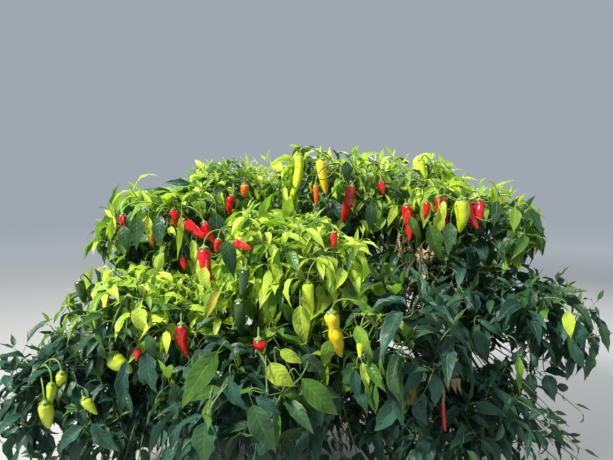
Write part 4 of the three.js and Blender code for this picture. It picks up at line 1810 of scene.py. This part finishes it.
@dataclass
class Foliage:
    """The twigs and leaves of all masses, dealt out in sprays of one tint."""

    masses: list[Mass]
    limbs: dict[str, Curve]
    sight: Sight
    pods: PodWork
    twigs_in_mass: int = 6
    leaves_on_twig: int = 9
    twig_reach: float = 0.76
    twig_arch: float = 0.16
    inner_rise: float = 0.2
    bud_distance: float = 0.05
    neighbour_room: float = 0.012
    shrinks: int = 5
    twig_floor: float = 0.06
    spray_floor: float = 0.14
    outer_reach: Range = (0.68, 1.0)
    inner_reach: Range = (0.4, 0.7)
    inner_share: float = 0.4
    unevenness: float = 0.34
    # Painted shade on sprays deep in a mass and on those on limbs and low down, and the share of it that
    # darkens their leaves' tones.
    inner_shade: float = 0.34
    limb_shade: float = 0.7
    inner_painted_shade: float = 0.75
    leaf_reach: Range = (1.08, 1.26)
    bud_tries: int = 14
    held_hook: float = 0.014
    dry_reach: float = 0.09
    dry_at_place: int = 12
    sprays_on_limb: int = 6
    low_sprays: int = 232
    low_squareness: float = 0.62
    low_reach: Range = (0.96, 0.56)
    low_forward: float = 0.24
    low_height: Range = (0.09, 0.36)
    shown: Shown | None = None
    twigs: list[Twig] = field(default_factory=list)
    leaves: dict[tuple[Tint, str], list[Leaf]] = field(default_factory=dict)
    homes: dict[tuple[Tint, str], set[str]] = field(default_factory=dict)

    LIGHTER = {Tint.FRESH: Tint.LIME, Tint.LEAFY: Tint.FRESH, Tint.DEEP: Tint.LEAFY, Tint.SHADE: Tint.DEEP}
    DARKER = {light: dark for dark, light in LIGHTER.items()}
    LEAST_LIGHT = ((Tint.LIME, 0.68), (Tint.FRESH, 0.48), (Tint.LEAFY, 0.28), (Tint.DEEP, 0.1))
    DRY_PLACES = ((0.42, -0.25, 0.63), (0.52, -0.25, 0.46), (0.34, -0.2, 0.7))
    WITHERED_CHANCE = {True: 0.55, False: 0.004}
    # Each kind of twig, with its radius at its foot and at its tip, and its steps.
    STEM = (0.0046, 0.003, 12)
    MAIN = (0.0028, 0.0017, 10)
    FINE = (0.0016, 0.001, 6)
    HOLDING = (0.0016, 0.0009, 10)
    ON_LIMB = (0.0018, 0.001, 6)
    LOW = (0.0022, 0.001, 8)
    DRY = (0.0016, 0.0006, 10)
    # The places along a stem, a main twig or a limb that twigs grow from.
    FINE_BUDS = (0.4, 0.55, 0.7, 0.85, 1.0)
    POD_BUDS = (0.3, 0.45, 0.6, 0.75, 0.9, 1.0)
    HELD_BUDS = (0.5, 0.9)
    LOW_BUDS = (0.15, 0.35, 0.55, 0.75)
    DRY_BUDS = (0.5, 0.75, 1.0)
    # How far a leaf may stand past the box of the solids, and its least height over the soil.
    PAST_LOW = (0.03, 0.022)
    PAST_HIGH = (0.022, 0.004, 0.022)
    LEAST_HEIGHT = 0.02
    LIMB_SEED, LOW_SEED, DRY_SEED, SHAPE_SEED = 911, 640, 57, 2207
    # The first height of directions over a ball of radius 1, and the stretch for all.
    BALL_TOP, BALL_STRETCH = 0.92, 1.6
    # The stem in a mass: how far it goes on past the middle, and how far it keeps its limb's way.
    STEM_LENGTH, STEM_LEAD = 1.3, 0.45
    # Main twigs: the first place on the stem and the stretch for all, their lengths, bend and outer bound.
    MAIN_START, MAIN_STRETCH = 0.95, 0.8
    MAIN_LENGTH, MAIN_MORE = 0.88, 0.24
    MAIN_BEND, MAIN_BOUND = 0.45, 1.14
    # Fine twigs: the patches of longer ones, and how a tip shrinks back, leans out, rises and strays.
    PATCHES, PATCH_SHIFT = 2.4, 7
    SHRINK, LEAN_OUT, RISE, STRAY = 0.88, 0.6, 1.1, 0.5
    # The tints: the stray of the light, and the leaves of a spray and the chances for each change.
    LIGHT_STRAY = 0.14
    YELLOWED_AFTER, YELLOWED_CHANCE = 4, 0.003
    YOUNG_LEAVES, LIGHTER_ABOVE = 2, 0.92
    DARKER_AFTER, DARKER_CHANCES = 2, (0.42, 0.14)
    # Leaves on a twig: their ages, places, lengths, widths and tones, and the turn of each new try.
    FIRST_AGE, YOUNG_AGE, GROWN_SHARE = 0.1, 0.45, 0.6
    LEAFY_SHARE, CROWDING = 0.85, 1.2
    YOUNG_LENGTH, LENGTH_GAIN = 0.4, 0.6
    VIGOURS, WIDTHS, TONES = (0.75, 1.2), (0.8, 1.2), (0.65, 1.3)
    LEAF_TRIES, TRY_TURN, LEAF_ROOM = 4, 0.35, 0.03
    # A little to the side of upright, so that a twig that stands straight up has a level side too.
    NEAR_SIDE = np.array([0.01, 0.02, 0.0])
    # Points along a leaf's middle, ahead and down as shares of its length, and the half width at its sides.
    HANGING_LINE = ((0.3, 0.0), (0.46, 0.18), (0.52, 0.4), (0.54, 0.62), (0.54, 0.85), (0.54, 1.0))
    LEVEL_LINE = ((0.3, 0.0), (0.5, 0.0), (0.72, 0.05), (0.94, 0.16), (1.12, 0.28), (1.24, 0.38))
    FEELER_SIDE = 0.2
    # What stays free of leaves: the pod from a share of its length on, and shares of a held leaf's sizes.
    POD_FROM, POD_MARGIN_PX, HELD_FREE_LENGTH, HELD_FREE_WIDTH = 0.1, 3.0, 0.9, 0.3
    # Held leaves: how they lean to the front, where they hang, and the ways that they face.
    HELD_FORWARD, HELD_DEPTH, HELD_STALK = 0.3, 0.95, 0.15
    HELD_SIDEWAYS, HELD_RISE, HELD_TONES = 0.55, 0.35, (0.9, 1.15)
    # The wanted length of the twigs that hold leaves and pods, and the share of each that hides nothing.
    HELD_TWIG, POD_TWIG = (0.045, 0.92), (0.07, 0.65)
    CHECKED_FROM, CHECKS = 0.1, 8
    # Sprays on limbs and low down: the part of a limb that has them, their directions, lengths and arches.
    SPRAY_START, SPRAY_STRETCH = 0.3, 0.68
    SPRAY_RISE, SPRAY_LENGTH, SPRAY_ARCH = (-0.3, 0.6), (0.05, 0.11), 0.012
    LOW_CROWDING, LOW_ARCH = 0.4, 0.03
    # Dry twigs: how far they stray back and up, how far they drop, and how they hook over.
    DRY_BACK, DRY_UP, DRY_DROP, DRY_BEND, DRY_OVER, DRY_HOOK = 0.4, 0.7, 0.07, 0.6, (0.03, 0.07), 0.02

    def inner_curve(self, mass: Mass) -> Curve:
        """The line of the stem inside a mass, which goes on from its limb's tip.

        Args:
            mass: the mass.

        Returns:
            The line.
        """
        limb = self.limbs[mass.name]
        start = limb.point(1)
        end = raised(between(start, mass.middle, self.STEM_LENGTH), self.inner_rise * mass.half[2])
        return Curve((start, start + limb.tangent(1) * (self.STEM_LEAD * distance(start, end)), end))

    def spread_directions(self, count: int, turn: float) -> list[Array]:
        """Directions spread evenly over a ball, from its top to near its bottom.

        Args:
            count: how many there are.
            turn: the angle of the first.

        Returns:
            The directions.
        """
        directions = []
        for i in range(count):
            height = self.BALL_TOP - self.BALL_STRETCH * i / (count - 1)
            level = math.sqrt(1 - height * height)
            angle = turn + i * GOLDEN_ANGLE
            directions.append(np.array([level * math.cos(angle), level * math.sin(angle), height]))
        return directions

    def main_twigs(self, mass: Mass, inner: Curve) -> list[Curve]:
        """The lines of a mass's main twigs, as in the solids.

        Args:
            mass: the mass.
            inner: the line of the stem inside it.

        Returns:
            The lines.
        """
        curves = []
        for i, direction in enumerate(self.spread_directions(self.twigs_in_mass, mass.random() * math.pi)):
            start = inner.on_steps(3, self.MAIN_START - self.MAIN_STRETCH * i / self.twigs_in_mass)
            reach = self.twig_reach * (self.MAIN_LENGTH + self.MAIN_MORE * mass.random())
            end = mass.middle + direction * mass.half * reach
            curve = Curve.arched(start, end, self.MAIN_BEND, self.twig_arch * distance(start, end))
            checked = (curve.point(0.5), end)
            if all(mass.reach(p) < self.MAIN_BOUND and mass.owns(p, mass.ROOM) for p in checked):
                curves.append(curve)
        return curves

    def fine_twigs(self, mass: Mass, parents: Sequence[Curve], count: int, reaches: Range) -> list[Curve]:
        """The lines of finer twigs, each from the nearest main twig to a point spread evenly over the mass.

        Args:
            mass: the mass.
            parents: the lines of its stem and main twigs.
            count: how many there are.
            reaches: how far out they end, from low to high.

        Returns:
            The lines.
        """
        buds = buds_on(parents, self.FINE_BUDS)
        curves = []
        for direction in self.spread_directions(count, mass.random() * math.pi):
            patch = noise.noise(Vector(direction * self.PATCHES + mass.middle * self.PATCH_SHIFT))
            uneven = 1 + self.unevenness * patch
            reach = mass.random.within(*reaches) * uneven
            for tries in range(self.shrinks + 1):
                end = mass.middle + direction * mass.half * reach
                if tries == self.shrinks or mass.owns(end, -self.neighbour_room):
                    break
                reach *= self.SHRINK
            if tries == self.shrinks or end[2] < self.twig_floor:
                continue
            start = min(buds, key=lambda bud: abs(distance(bud, end) - self.bud_distance))
            across, deep = (mass.random.within(-self.STRAY, self.STRAY) for _ in range(2))
            stray = np.array([across, deep, 0.0])
            ahead = unit(direction * self.LEAN_OUT + UP * (self.RISE - mass.plan.droop) + stray)
            curves.append(Curve((start, end - ahead * 0.5 * distance(start, end), end)))
        return curves

    def tint_of(self, mass: Mass, place: Array, shade: float) -> Tint:
        """The tint of a spray, from the light that falls on its place.

        Args:
            mass: the spray's mass.
            place: the tip of its twig.
            shade: the light that it lacks inside the mass.

        Returns:
            The tint.
        """
        light = mass.light(place) + mass.random.within(-self.LIGHT_STRAY, self.LIGHT_STRAY) - shade
        dry = any(distance(placed(spot), place) < self.dry_reach for spot in self.DRY_PLACES)
        if mass.random() < self.WITHERED_CHANCE[dry]:
            return Tint.WITHERED
        return next((tint for tint, least in self.LEAST_LIGHT if light > least), Tint.SHADE)

    def aged_tint(self, tint: Tint, number: int, chance: float) -> Tint:
        """The tint of one leaf of a spray: the youngest ones are lighter, and some older ones darker.

        Args:
            tint: the spray's tint.
            number: the leaf's number from the twig's tip.
            chance: a number from 0 to 1 of the leaf's own.

        Returns:
            The leaf's tint.
        """
        if number > self.YELLOWED_AFTER and chance < self.YELLOWED_CHANCE:
            return Tint.YELLOWED
        if number < self.YOUNG_LEAVES or chance > self.LIGHTER_ABOVE:
            return self.LIGHTER.get(tint, tint)
        for likely in self.DARKER_CHANCES:
            if number > self.DARKER_AFTER and chance < likely:
                tint = self.DARKER.get(tint, tint)
        return tint

    def leaf_at(self, mass: Mass, twig: Curve, share: float, angle: float, age: float, tint: Tint) -> Leaf:
        """A leaf on a twig, held as its age and its mass's droop ask.

        Args:
            mass: the leaf's mass.
            twig: the line of its twig.
            share: its place along the twig.
            angle: its turn round the twig.
            age: from 0 for the youngest at the tip to 1.
            tint: its tint.

        Returns:
            The leaf.
        """
        random, droop = mass.random, mass.plan.droop
        place, heading = twig.point(share), twig.tangent(share)
        out = mass.outward(place)
        level = unit(np.cross(heading, UP + self.NEAR_SIDE))
        ring = around(level, np.cross(level, heading), angle)
        tilt = np.array([random.within(-1, 1), random.within(-1, 1), 0.0])
        if tint is Tint.WITHERED:
            habit, along, face = Habit.DRY, ring * 0.35 + out * 0.2 - UP, ring + tilt * 0.4
        elif age < self.YOUNG_AGE:
            habit, along = Habit.YOUNG, ring * (0.5 + age) + heading + UP * 0.2
            face = heading * 0.6 + UP * 0.7 - ring * 0.4 + tilt * 0.4
        elif random() < droop:
            habit, along = Habit.HANGING, ring * np.array([1, 1, 0.2]) + out * 0.5 + UP * 0.1
            face = UP + tilt * 0.35
        else:
            habit, along = Habit.SPREAD, ring + heading * (0.6 - 0.4 * age) + out * 0.25
            along = unit(along) - UP * droop * random.within(0.0, 0.9)
            face = UP * 0.9 + out * 0.6 + tilt * 0.5
        along = unit(along)
        upper = unit(np.cross(unit(np.cross(along, face)), along))
        length = random.within(*mass.plan.leaf) * (self.YOUNG_LENGTH + self.LENGTH_GAIN * age)
        shape, widen, tone = habit.pick(random), random.within(*self.WIDTHS), random.within(*self.TONES)
        return Leaf(place - along * 0.001, along, upper, widen, length, shape, tone)

    def feelers(self, leaf: Leaf) -> Array:
        """Points spread over a leaf: its stalk, its middle, its sides and its tip, also where it hangs.

        Args:
            leaf: the leaf.

        Returns:
            The points, one in each row.
        """
        side = np.cross(leaf.along, leaf.upper) * leaf.length * self.FEELER_SIDE
        ahead, drop = leaf.along * leaf.length, leaf.upper * leaf.length
        hanging = Habit.HANGING.first() <= leaf.shape < Habit.HELD.first()
        line = self.HANGING_LINE if hanging else self.LEVEL_LINE
        middle = np.array([leaf.root + ahead * a - drop * b for a, b in line])
        return np.concatenate([middle, middle[1:4] + side, middle[1:4] - side])

    def find_shown(self) -> Shown:
        """Finds what stays free of leaves: the pods and held leaves that face the front, and the gaps.

        Returns:
            Each as a line in the photographed view.
        """
        rows = [(placed([gap.start, gap.end]), gap.half_width, 0.0, math.inf) for gap in GAPS]
        for mass in self.masses:
            if mass.plan.facing > 0:
                continue
            for plan in PODS.get(mass.name, ()):
                top, heading = self.pods.pose(plan, mass)
                ends = np.array([top + heading * plan.length * self.POD_FROM, top + heading * plan.length])
                rows.append((ends, plan.radius, self.POD_MARGIN_PX, 0.0))
            for plan in HELD_LEAVES.get(mass.name, ()):
                base, along = self.held_pose(plan, mass)
                ends = np.array([base, base + along * plan.length * self.HELD_FREE_LENGTH])
                rows.append((ends, plan.width * self.HELD_FREE_WIDTH, 0.0, 0.0))
        starts, ends, widths, depths = [], [], [], []
        for line, radius, margin, behind in rows:
            pixels, depth = self.sight.pixels(line)
            starts.append(pixels[0])
            ends.append(pixels[1])
            widths.append(FOCAL_PX * radius / depth[0] + margin)
            depths.append(depth[0] + behind)
        return Shown(np.array(starts), np.array(ends), np.array(widths), np.array(depths))

    def keeps(self, mass: Mass, points: Array, reach: float | None) -> bool:
        """Whether a leaf stays in the crown's box and in a reach of its mass, and hides nothing.

        Args:
            mass: the leaf's mass.
            points: the points spread over it.
            reach: how far out of its mass it may stand, where that is bounded.

        Returns:
            True where it stays.
        """
        low = np.array([cad_low.x - self.PAST_LOW[0], cad_low.y - self.PAST_LOW[1], self.LEAST_HEIGHT])
        high = np.array(cad_high) + np.array(self.PAST_HIGH)
        if (points < low).any() or (points > high).any():
            return False
        if reach is not None:
            if mass.reach(points[4]) >= reach or not mass.owns(points[0], -self.LEAF_ROOM):
                return False
        return not self.shown.hidden_by(*self.sight.pixels(points))

    def add_leaf(self, mass: Mass, tint: Tint, leaf: Leaf) -> None:
        """Puts a leaf with those of its tint in its mass's region of the plant."""
        self.leaves.setdefault((tint, REGION_OF[mass.name]), []).append(leaf)
        self.homes.setdefault((tint, REGION_OF[mass.name]), set()).add("foliage_" + mass.name)

    def dress(self, mass: Mass, curve: Curve, shade: float, inside: bool = False) -> None:
        """Sets a spray of leaves on a twig.

        Args:
            mass: the twig's mass.
            curve: the twig's line.
            shade: the light that the spray lacks inside the mass.
            inside: whether the twig stands on a limb inside the crown, out of its mass's reach.
        """
        tint = self.tint_of(mass, curve.point(1), shade)
        turn = mass.random.within(0, FULL_TURN)
        vigour = mass.random.within(*self.VIGOURS)
        reach = None if inside else mass.random.within(*self.leaf_reach)
        for i in range(self.leaves_on_twig):
            age = min(1.0, self.FIRST_AGE + i / (self.leaves_on_twig * self.GROWN_SHARE))
            share = 1 - self.LEAFY_SHARE * (i / self.leaves_on_twig) ** self.CROWDING
            own = self.aged_tint(tint, i, mass.random())
            for tries in range(self.LEAF_TRIES):
                angle = turn + (i + self.TRY_TURN * tries) * GOLDEN_ANGLE
                leaf = self.leaf_at(mass, curve, share, angle, age, own)
                leaf.length *= vigour
                # Leaves inside the crown are darkened as painted shade.
                leaf.tone *= 1 - self.inner_painted_shade * shade
                if self.keeps(mass, self.feelers(leaf), reach):
                    self.add_leaf(mass, own, leaf)
                    break

    def held_pose(self, plan: HeldPlan, mass: Mass) -> tuple[Array, Array]:
        """How a held leaf's blade stands.

        Args:
            plan: the leaf.
            mass: its mass.

        Returns:
            The place where the blade leaves its stalk, and its heading.
        """
        slant = math.radians(plan.slant)
        along = unit(np.array([math.sin(slant), self.HELD_FORWARD * mass.plan.facing, -math.cos(slant)]))
        return mass.front_place(plan.across, plan.up, self.HELD_DEPTH), along

    def clear_twig(
        self,
        buds: Sequence[Array],
        place: Array,
        apart: float,
        checked: float,
        twig_from: Callable[[Array], Twig],
    ) -> None:
        """Adds a twig to a place, from a bud at about a distance, that hides nothing where it can.

        Args:
            buds: the places that it can grow from.
            place: the place that it grows to.
            apart: the distance that is wanted.
            checked: the share of the twig that mustn't hide what shows.
            twig_from: makes the twig from a bud.
        """
        ordered = sorted(buds, key=lambda bud: abs(distance(bud, place) - apart))
        shares = np.linspace(self.CHECKED_FROM, checked, self.CHECKS)
        for bud in ordered[: self.bud_tries]:
            twig = twig_from(bud)
            if not self.shown.hidden_by(*self.sight.pixels(np.array(buds_on([twig.curve], shares)))):
                break
        else:
            twig = twig_from(ordered[0])
        self.twigs.append(twig)

    def held_twig(self, root: Array, along: Array, bud: Array) -> Twig:
        """The twig that a held leaf hangs from, from a bud to its root."""
        return Twig(Curve.hooked(bud, root, along, self.held_hook), *self.HOLDING)

    def hold_leaves(self, mass: Mass, buds: Sequence[Array]) -> None:
        """Sets a mass's held leaves, each on a twig of its own.

        Args:
            mass: the mass.
            buds: the places that the twigs can grow from.
        """
        for plan in HELD_LEAVES.get(mass.name, ()):
            base, along = self.held_pose(plan, mass)
            root = base - along * plan.length * self.HELD_STALK
            self.clear_twig(buds, root, *self.HELD_TWIG, partial(self.held_twig, root, along))
            sideways = mass.random.within(-self.HELD_SIDEWAYS, self.HELD_SIDEWAYS)
            face = np.array([sideways, float(mass.plan.facing), self.HELD_RISE])
            upper = unit(np.cross(unit(np.cross(along, face)), along))
            shape, widen = Habit.HELD.pick(mass.random), plan.width / plan.length * 2
            tone = mass.random.within(*self.HELD_TONES)
            self.add_leaf(mass, plan.tint, Leaf(root, along, upper, widen, plan.length, shape, tone))

    def grow(self) -> None:
        """Grows the twigs and the leaves of all masses."""
        self.shown = self.find_shown()
        self.limb_sprays()
        self.undergrowth()
        stems = [self.inner_curve(mass) for mass in self.masses]
        for mass, inner in zip(self.masses, stems):
            self.twigs.append(Twig(inner, *self.STEM))
            main = self.main_twigs(mass, inner)
            self.twigs.extend(Twig(curve, *self.MAIN) for curve in main)
            parents = [inner, *main]
            outer = self.fine_twigs(mass, parents, mass.plan.twigs, self.outer_reach)
            deep = self.fine_twigs(mass, parents, round(mass.plan.twigs * self.inner_share), self.inner_reach)
            self.twigs.extend(Twig(curve, *self.FINE) for curve in outer + deep)
            buds = buds_on(parents, self.POD_BUDS)
            for plan in PODS.get(mass.name, ()):
                top = self.pods.pose(plan, mass)[0]
                self.clear_twig(buds, top, *self.POD_TWIG, partial(self.pods.twig, plan, mass))
            self.hold_leaves(mass, buds + buds_on(outer, self.HELD_BUDS))
            for curve in main + outer:
                self.dress(mass, curve, 0.0)
            for curve in deep:
                self.dress(mass, curve, self.inner_shade)
        self.dry_twigs(stems)

    def limb_sprays(self) -> None:
        """Sets sprays in painted shade on short twigs along the boughs and limbs."""
        random = SeededRun(self.LIMB_SEED)
        for limb in self.limbs.values():
            for i in range(self.sprays_on_limb):
                start = limb.point(self.SPRAY_START + self.SPRAY_STRETCH * (i + 0.5) / self.sprays_on_limb)
                mass = min(self.masses, key=lambda other: other.weight(start))
                angle = random.within(0, FULL_TURN)
                ahead = np.array([math.cos(angle), math.sin(angle), random.within(*self.SPRAY_RISE)])
                end = start + ahead * random.within(*self.SPRAY_LENGTH)
                if end[2] >= self.spray_floor:
                    curve = Curve.arched(start, end, 0.5, self.SPRAY_ARCH)
                    self.twigs.append(Twig(curve, *self.ON_LIMB))
                    self.dress(mass, curve, self.limb_shade, True)

    def undergrowth(self) -> None:
        """Sets sprays in painted shade low round the main stem, on twigs from the nearest boughs and limbs.
        """
        random = SeededRun(self.LOW_SEED)
        buds = buds_on(self.limbs.values(), self.LOW_BUDS)
        for i in range(self.low_sprays):
            out = ((i + 0.5) / self.low_sprays) ** self.LOW_CROWDING
            angle = i * GOLDEN_ANGLE
            height = random.within(*self.low_height)
            across, deep = (
                reach * out * math.copysign(abs(turn) ** self.low_squareness, turn)
                for reach, turn in zip(self.low_reach, (math.cos(angle), math.sin(angle)))
            )
            end = placed((across, deep - self.low_forward, height))
            mass = min(self.masses, key=lambda other: other.weight(end))
            start = min(buds, key=lambda bud: distance(bud, end))
            curve = Curve.arched(start, end, 0.5, self.LOW_ARCH)
            self.twigs.append(Twig(curve, *self.LOW))
            self.dress(mass, curve, self.limb_shade, True)

    def dry_twigs(self, parents: Sequence[Curve]) -> None:
        """Hangs bare dry twigs round the dry places.

        Args:
            parents: the lines of the stems that they can hang from.
        """
        random = SeededRun(self.DRY_SEED)
        buds = buds_on(parents, self.DRY_BUDS)
        for spot in self.DRY_PLACES:
            for _ in range(self.dry_at_place):
                limits = (1, self.DRY_BACK, self.DRY_UP)
                stray = np.array([random.within(-1, limit) for limit in limits])
                end = placed(spot) + stray * self.dry_reach
                start = min(buds, key=lambda bud: distance(bud, raised(end, self.DRY_DROP)))
                over = raised(between(start, end, self.DRY_BEND), random.within(*self.DRY_OVER))
                curve = Curve((start, over, end + stray * self.DRY_HOOK, end))
                self.twigs.append(Twig(curve, *self.DRY, dry=True))

    def twig_piece(self, name: str, dry: bool, finish: Material) -> None:
        """Builds all green or all dry twigs as one piece.

        Args:
            name: the piece's name.
            dry: whether it is the dry ones.
            finish: their skin.
        """
        points: list[tuple[float, ...]] = []
        edges: list[tuple[int, int]] = []
        girths: list[float] = []
        for twig in (twig for twig in self.twigs if twig.dry is dry):
            first = len(points)
            shares = [i / twig.steps for i in range(twig.steps + 1)]
            points.extend(tuple(point) for point in buds_on([twig.curve], shares))
            girths.extend(twig.radius(share) for share in shares)
            edges.extend((first + i, first + i + 1) for i in range(twig.steps))
        paths = bpy.data.meshes.new("twig_paths")
        paths.from_pydata(points, edges, [])
        add_attribute(paths, "girth", "FLOAT", girths)
        piece = twig_tree().grow(name, paths, {"Sides": 4, "Thickness": 1.0, "Finish": finish})
        settle(piece, ["foliage_" + mass.name for mass in self.masses])

    def leaf_collection(self) -> bpy.types.Collection:
        """Makes the shapes of leaf, habit by habit.

        Returns:
            The collection of their objects.
        """
        random = SeededRun(self.SHAPE_SEED)
        collection = bpy.data.collections.new("leaf_shapes")
        for habit in Habit:
            for i in range(habit.value.count):
                name = "leaf_shape_%02d" % (habit.first() + i)
                mesh = LeafShape.seeded(random, habit).mesh(name)
                collection.objects.link(bpy.data.objects.new(name, mesh))
        return collection

    def leaf_pieces(self, finishes: Finishes) -> None:
        """Builds the leaves, joined by tint and region.

        Args:
            finishes: the plant's materials.
        """
        shapes = self.leaf_collection()
        tree = leaf_tree()
        skins = {tint: finishes.leaf(tint.value) for tint in Tint}
        for (tint, region), leaves in self.leaves.items():
            name = "leaves_%s_%s" % (tint.value.name, region)
            roots = bpy.data.meshes.new(name + "_roots")
            roots.from_pydata([tuple(leaf.root) for leaf in leaves], [], [])
            axes = [(np.cross(leaf.along, leaf.upper), leaf.along, leaf.upper) for leaf in leaves]
            turned = [Matrix(rows).transposed().to_quaternion() for rows in axes]
            sizes = [(leaf.widen * leaf.length, leaf.length, leaf.length) for leaf in leaves]
            add_attribute(roots, "pose", "QUATERNION", turned)
            add_attribute(roots, "blade_size", "FLOAT_VECTOR", sizes)
            add_attribute(roots, "leaf_shape", "INT", [leaf.shape for leaf in leaves])
            add_attribute(roots, "tone", "FLOAT", [leaf.tone for leaf in leaves])
            piece = tree.grow(name, roots, {"Leaf shapes": shapes, "Size": 1.0, "Finish": skins[tint]})
            settle(piece, sorted(self.homes[tint, region]))
            LOG.info("%s: %d leaves", name, len(leaves))
        for item in list(shapes.objects):
            bpy.data.objects.remove(item)
        bpy.data.collections.remove(shapes)


@dataclass
class Studio:
    """The floor, the soft lights and the pale surroundings.

    Each light is given by its place, its side's length, its power in watts and its colour.
    """

    floor_half: float = 30.0
    sky: Triple = (0.79, 0.885, 1.0)
    sky_strength: float = 0.44
    aim: Triple = (0, 0, 0.55)

    LIGHTS = {
        "key_light": ((-2.0, -1.5, 2.9), 0.45, 260.0, (1.0, 0.96, 0.88)),
        "rim_light": ((0.8, 1.9, 2.4), 1.5, 85.0, (1.0, 0.98, 0.92)),
        "fill_light": ((2.2, -1.8, 1.0), 2.2, 6.0, (0.85, 0.93, 1.0)),
    }

    def build(self, finish: Material) -> None:
        """Builds the stage.

        Args:
            finish: the floor's material.
        """
        half = self.floor_half
        corners = [(-half, -half, 0), (half, -half, 0), (half, half, 0), (-half, half, 0)]
        link_piece(mesh_of("pale_floor", corners, [(0, 1, 2, 3)]), finish)
        for name, (place, size, power, colour) in self.LIGHTS.items():
            data = bpy.data.lights.new(name, "AREA")
            data.size, data.energy, data.color = size, power, colour
            light = into_scene(name, data)
            light.location = place
            light.rotation_euler = (Vector(self.aim) - Vector(place)).to_track_quat("-Z", "Y").to_euler()
        world = bpy.data.worlds.new("pale_surroundings")
        world.use_nodes = True
        background = world.node_tree.nodes["Background"]
        background.inputs["Color"].default_value = (*self.sky, 1.0)
        background.inputs["Strength"].default_value = self.sky_strength
        bpy.context.scene.world = world
        bpy.context.scene.view_settings.view_transform = "Standard"


def main() -> None:
    """Builds the camera, the stem, the foliage, the pods and the stage, in order."""
    logging.basicConfig(level=logging.INFO, format="%(message)s")
    sight = Sight()
    sight.make_camera()
    finishes = Finishes()
    masses = [Mass(name, plan, index) for index, (name, plan) in enumerate(MASSES.items())]
    for mass in masses:
        mass.others = [other for other in masses if other is not mass]
    stems = StemWork()
    bark = finishes.stem("woody_bark", (0.16, 0.20, 0.05), (0.27, 0.21, 0.14))
    green = finishes.stem("green_bark", (0.15, 0.25, 0.045), (0.24, 0.21, 0.11))
    dry = finishes.stem("dry_bark", (0.30, 0.20, 0.13), (0.36, 0.26, 0.18))
    stems.build(masses, bark, green)
    pods = PodWork()
    foliage = Foliage(masses, stems.curves, sight, pods)
    foliage.grow()
    foliage.twig_piece("green_twigs", False, finishes.green_twig())
    foliage.twig_piece("dry_twigs", True, dry)
    foliage.leaf_pieces(finishes)
    pods.build(masses, finishes)
    Studio().build(finishes.floor())
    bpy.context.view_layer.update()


if __name__ == "__main__":
    main()
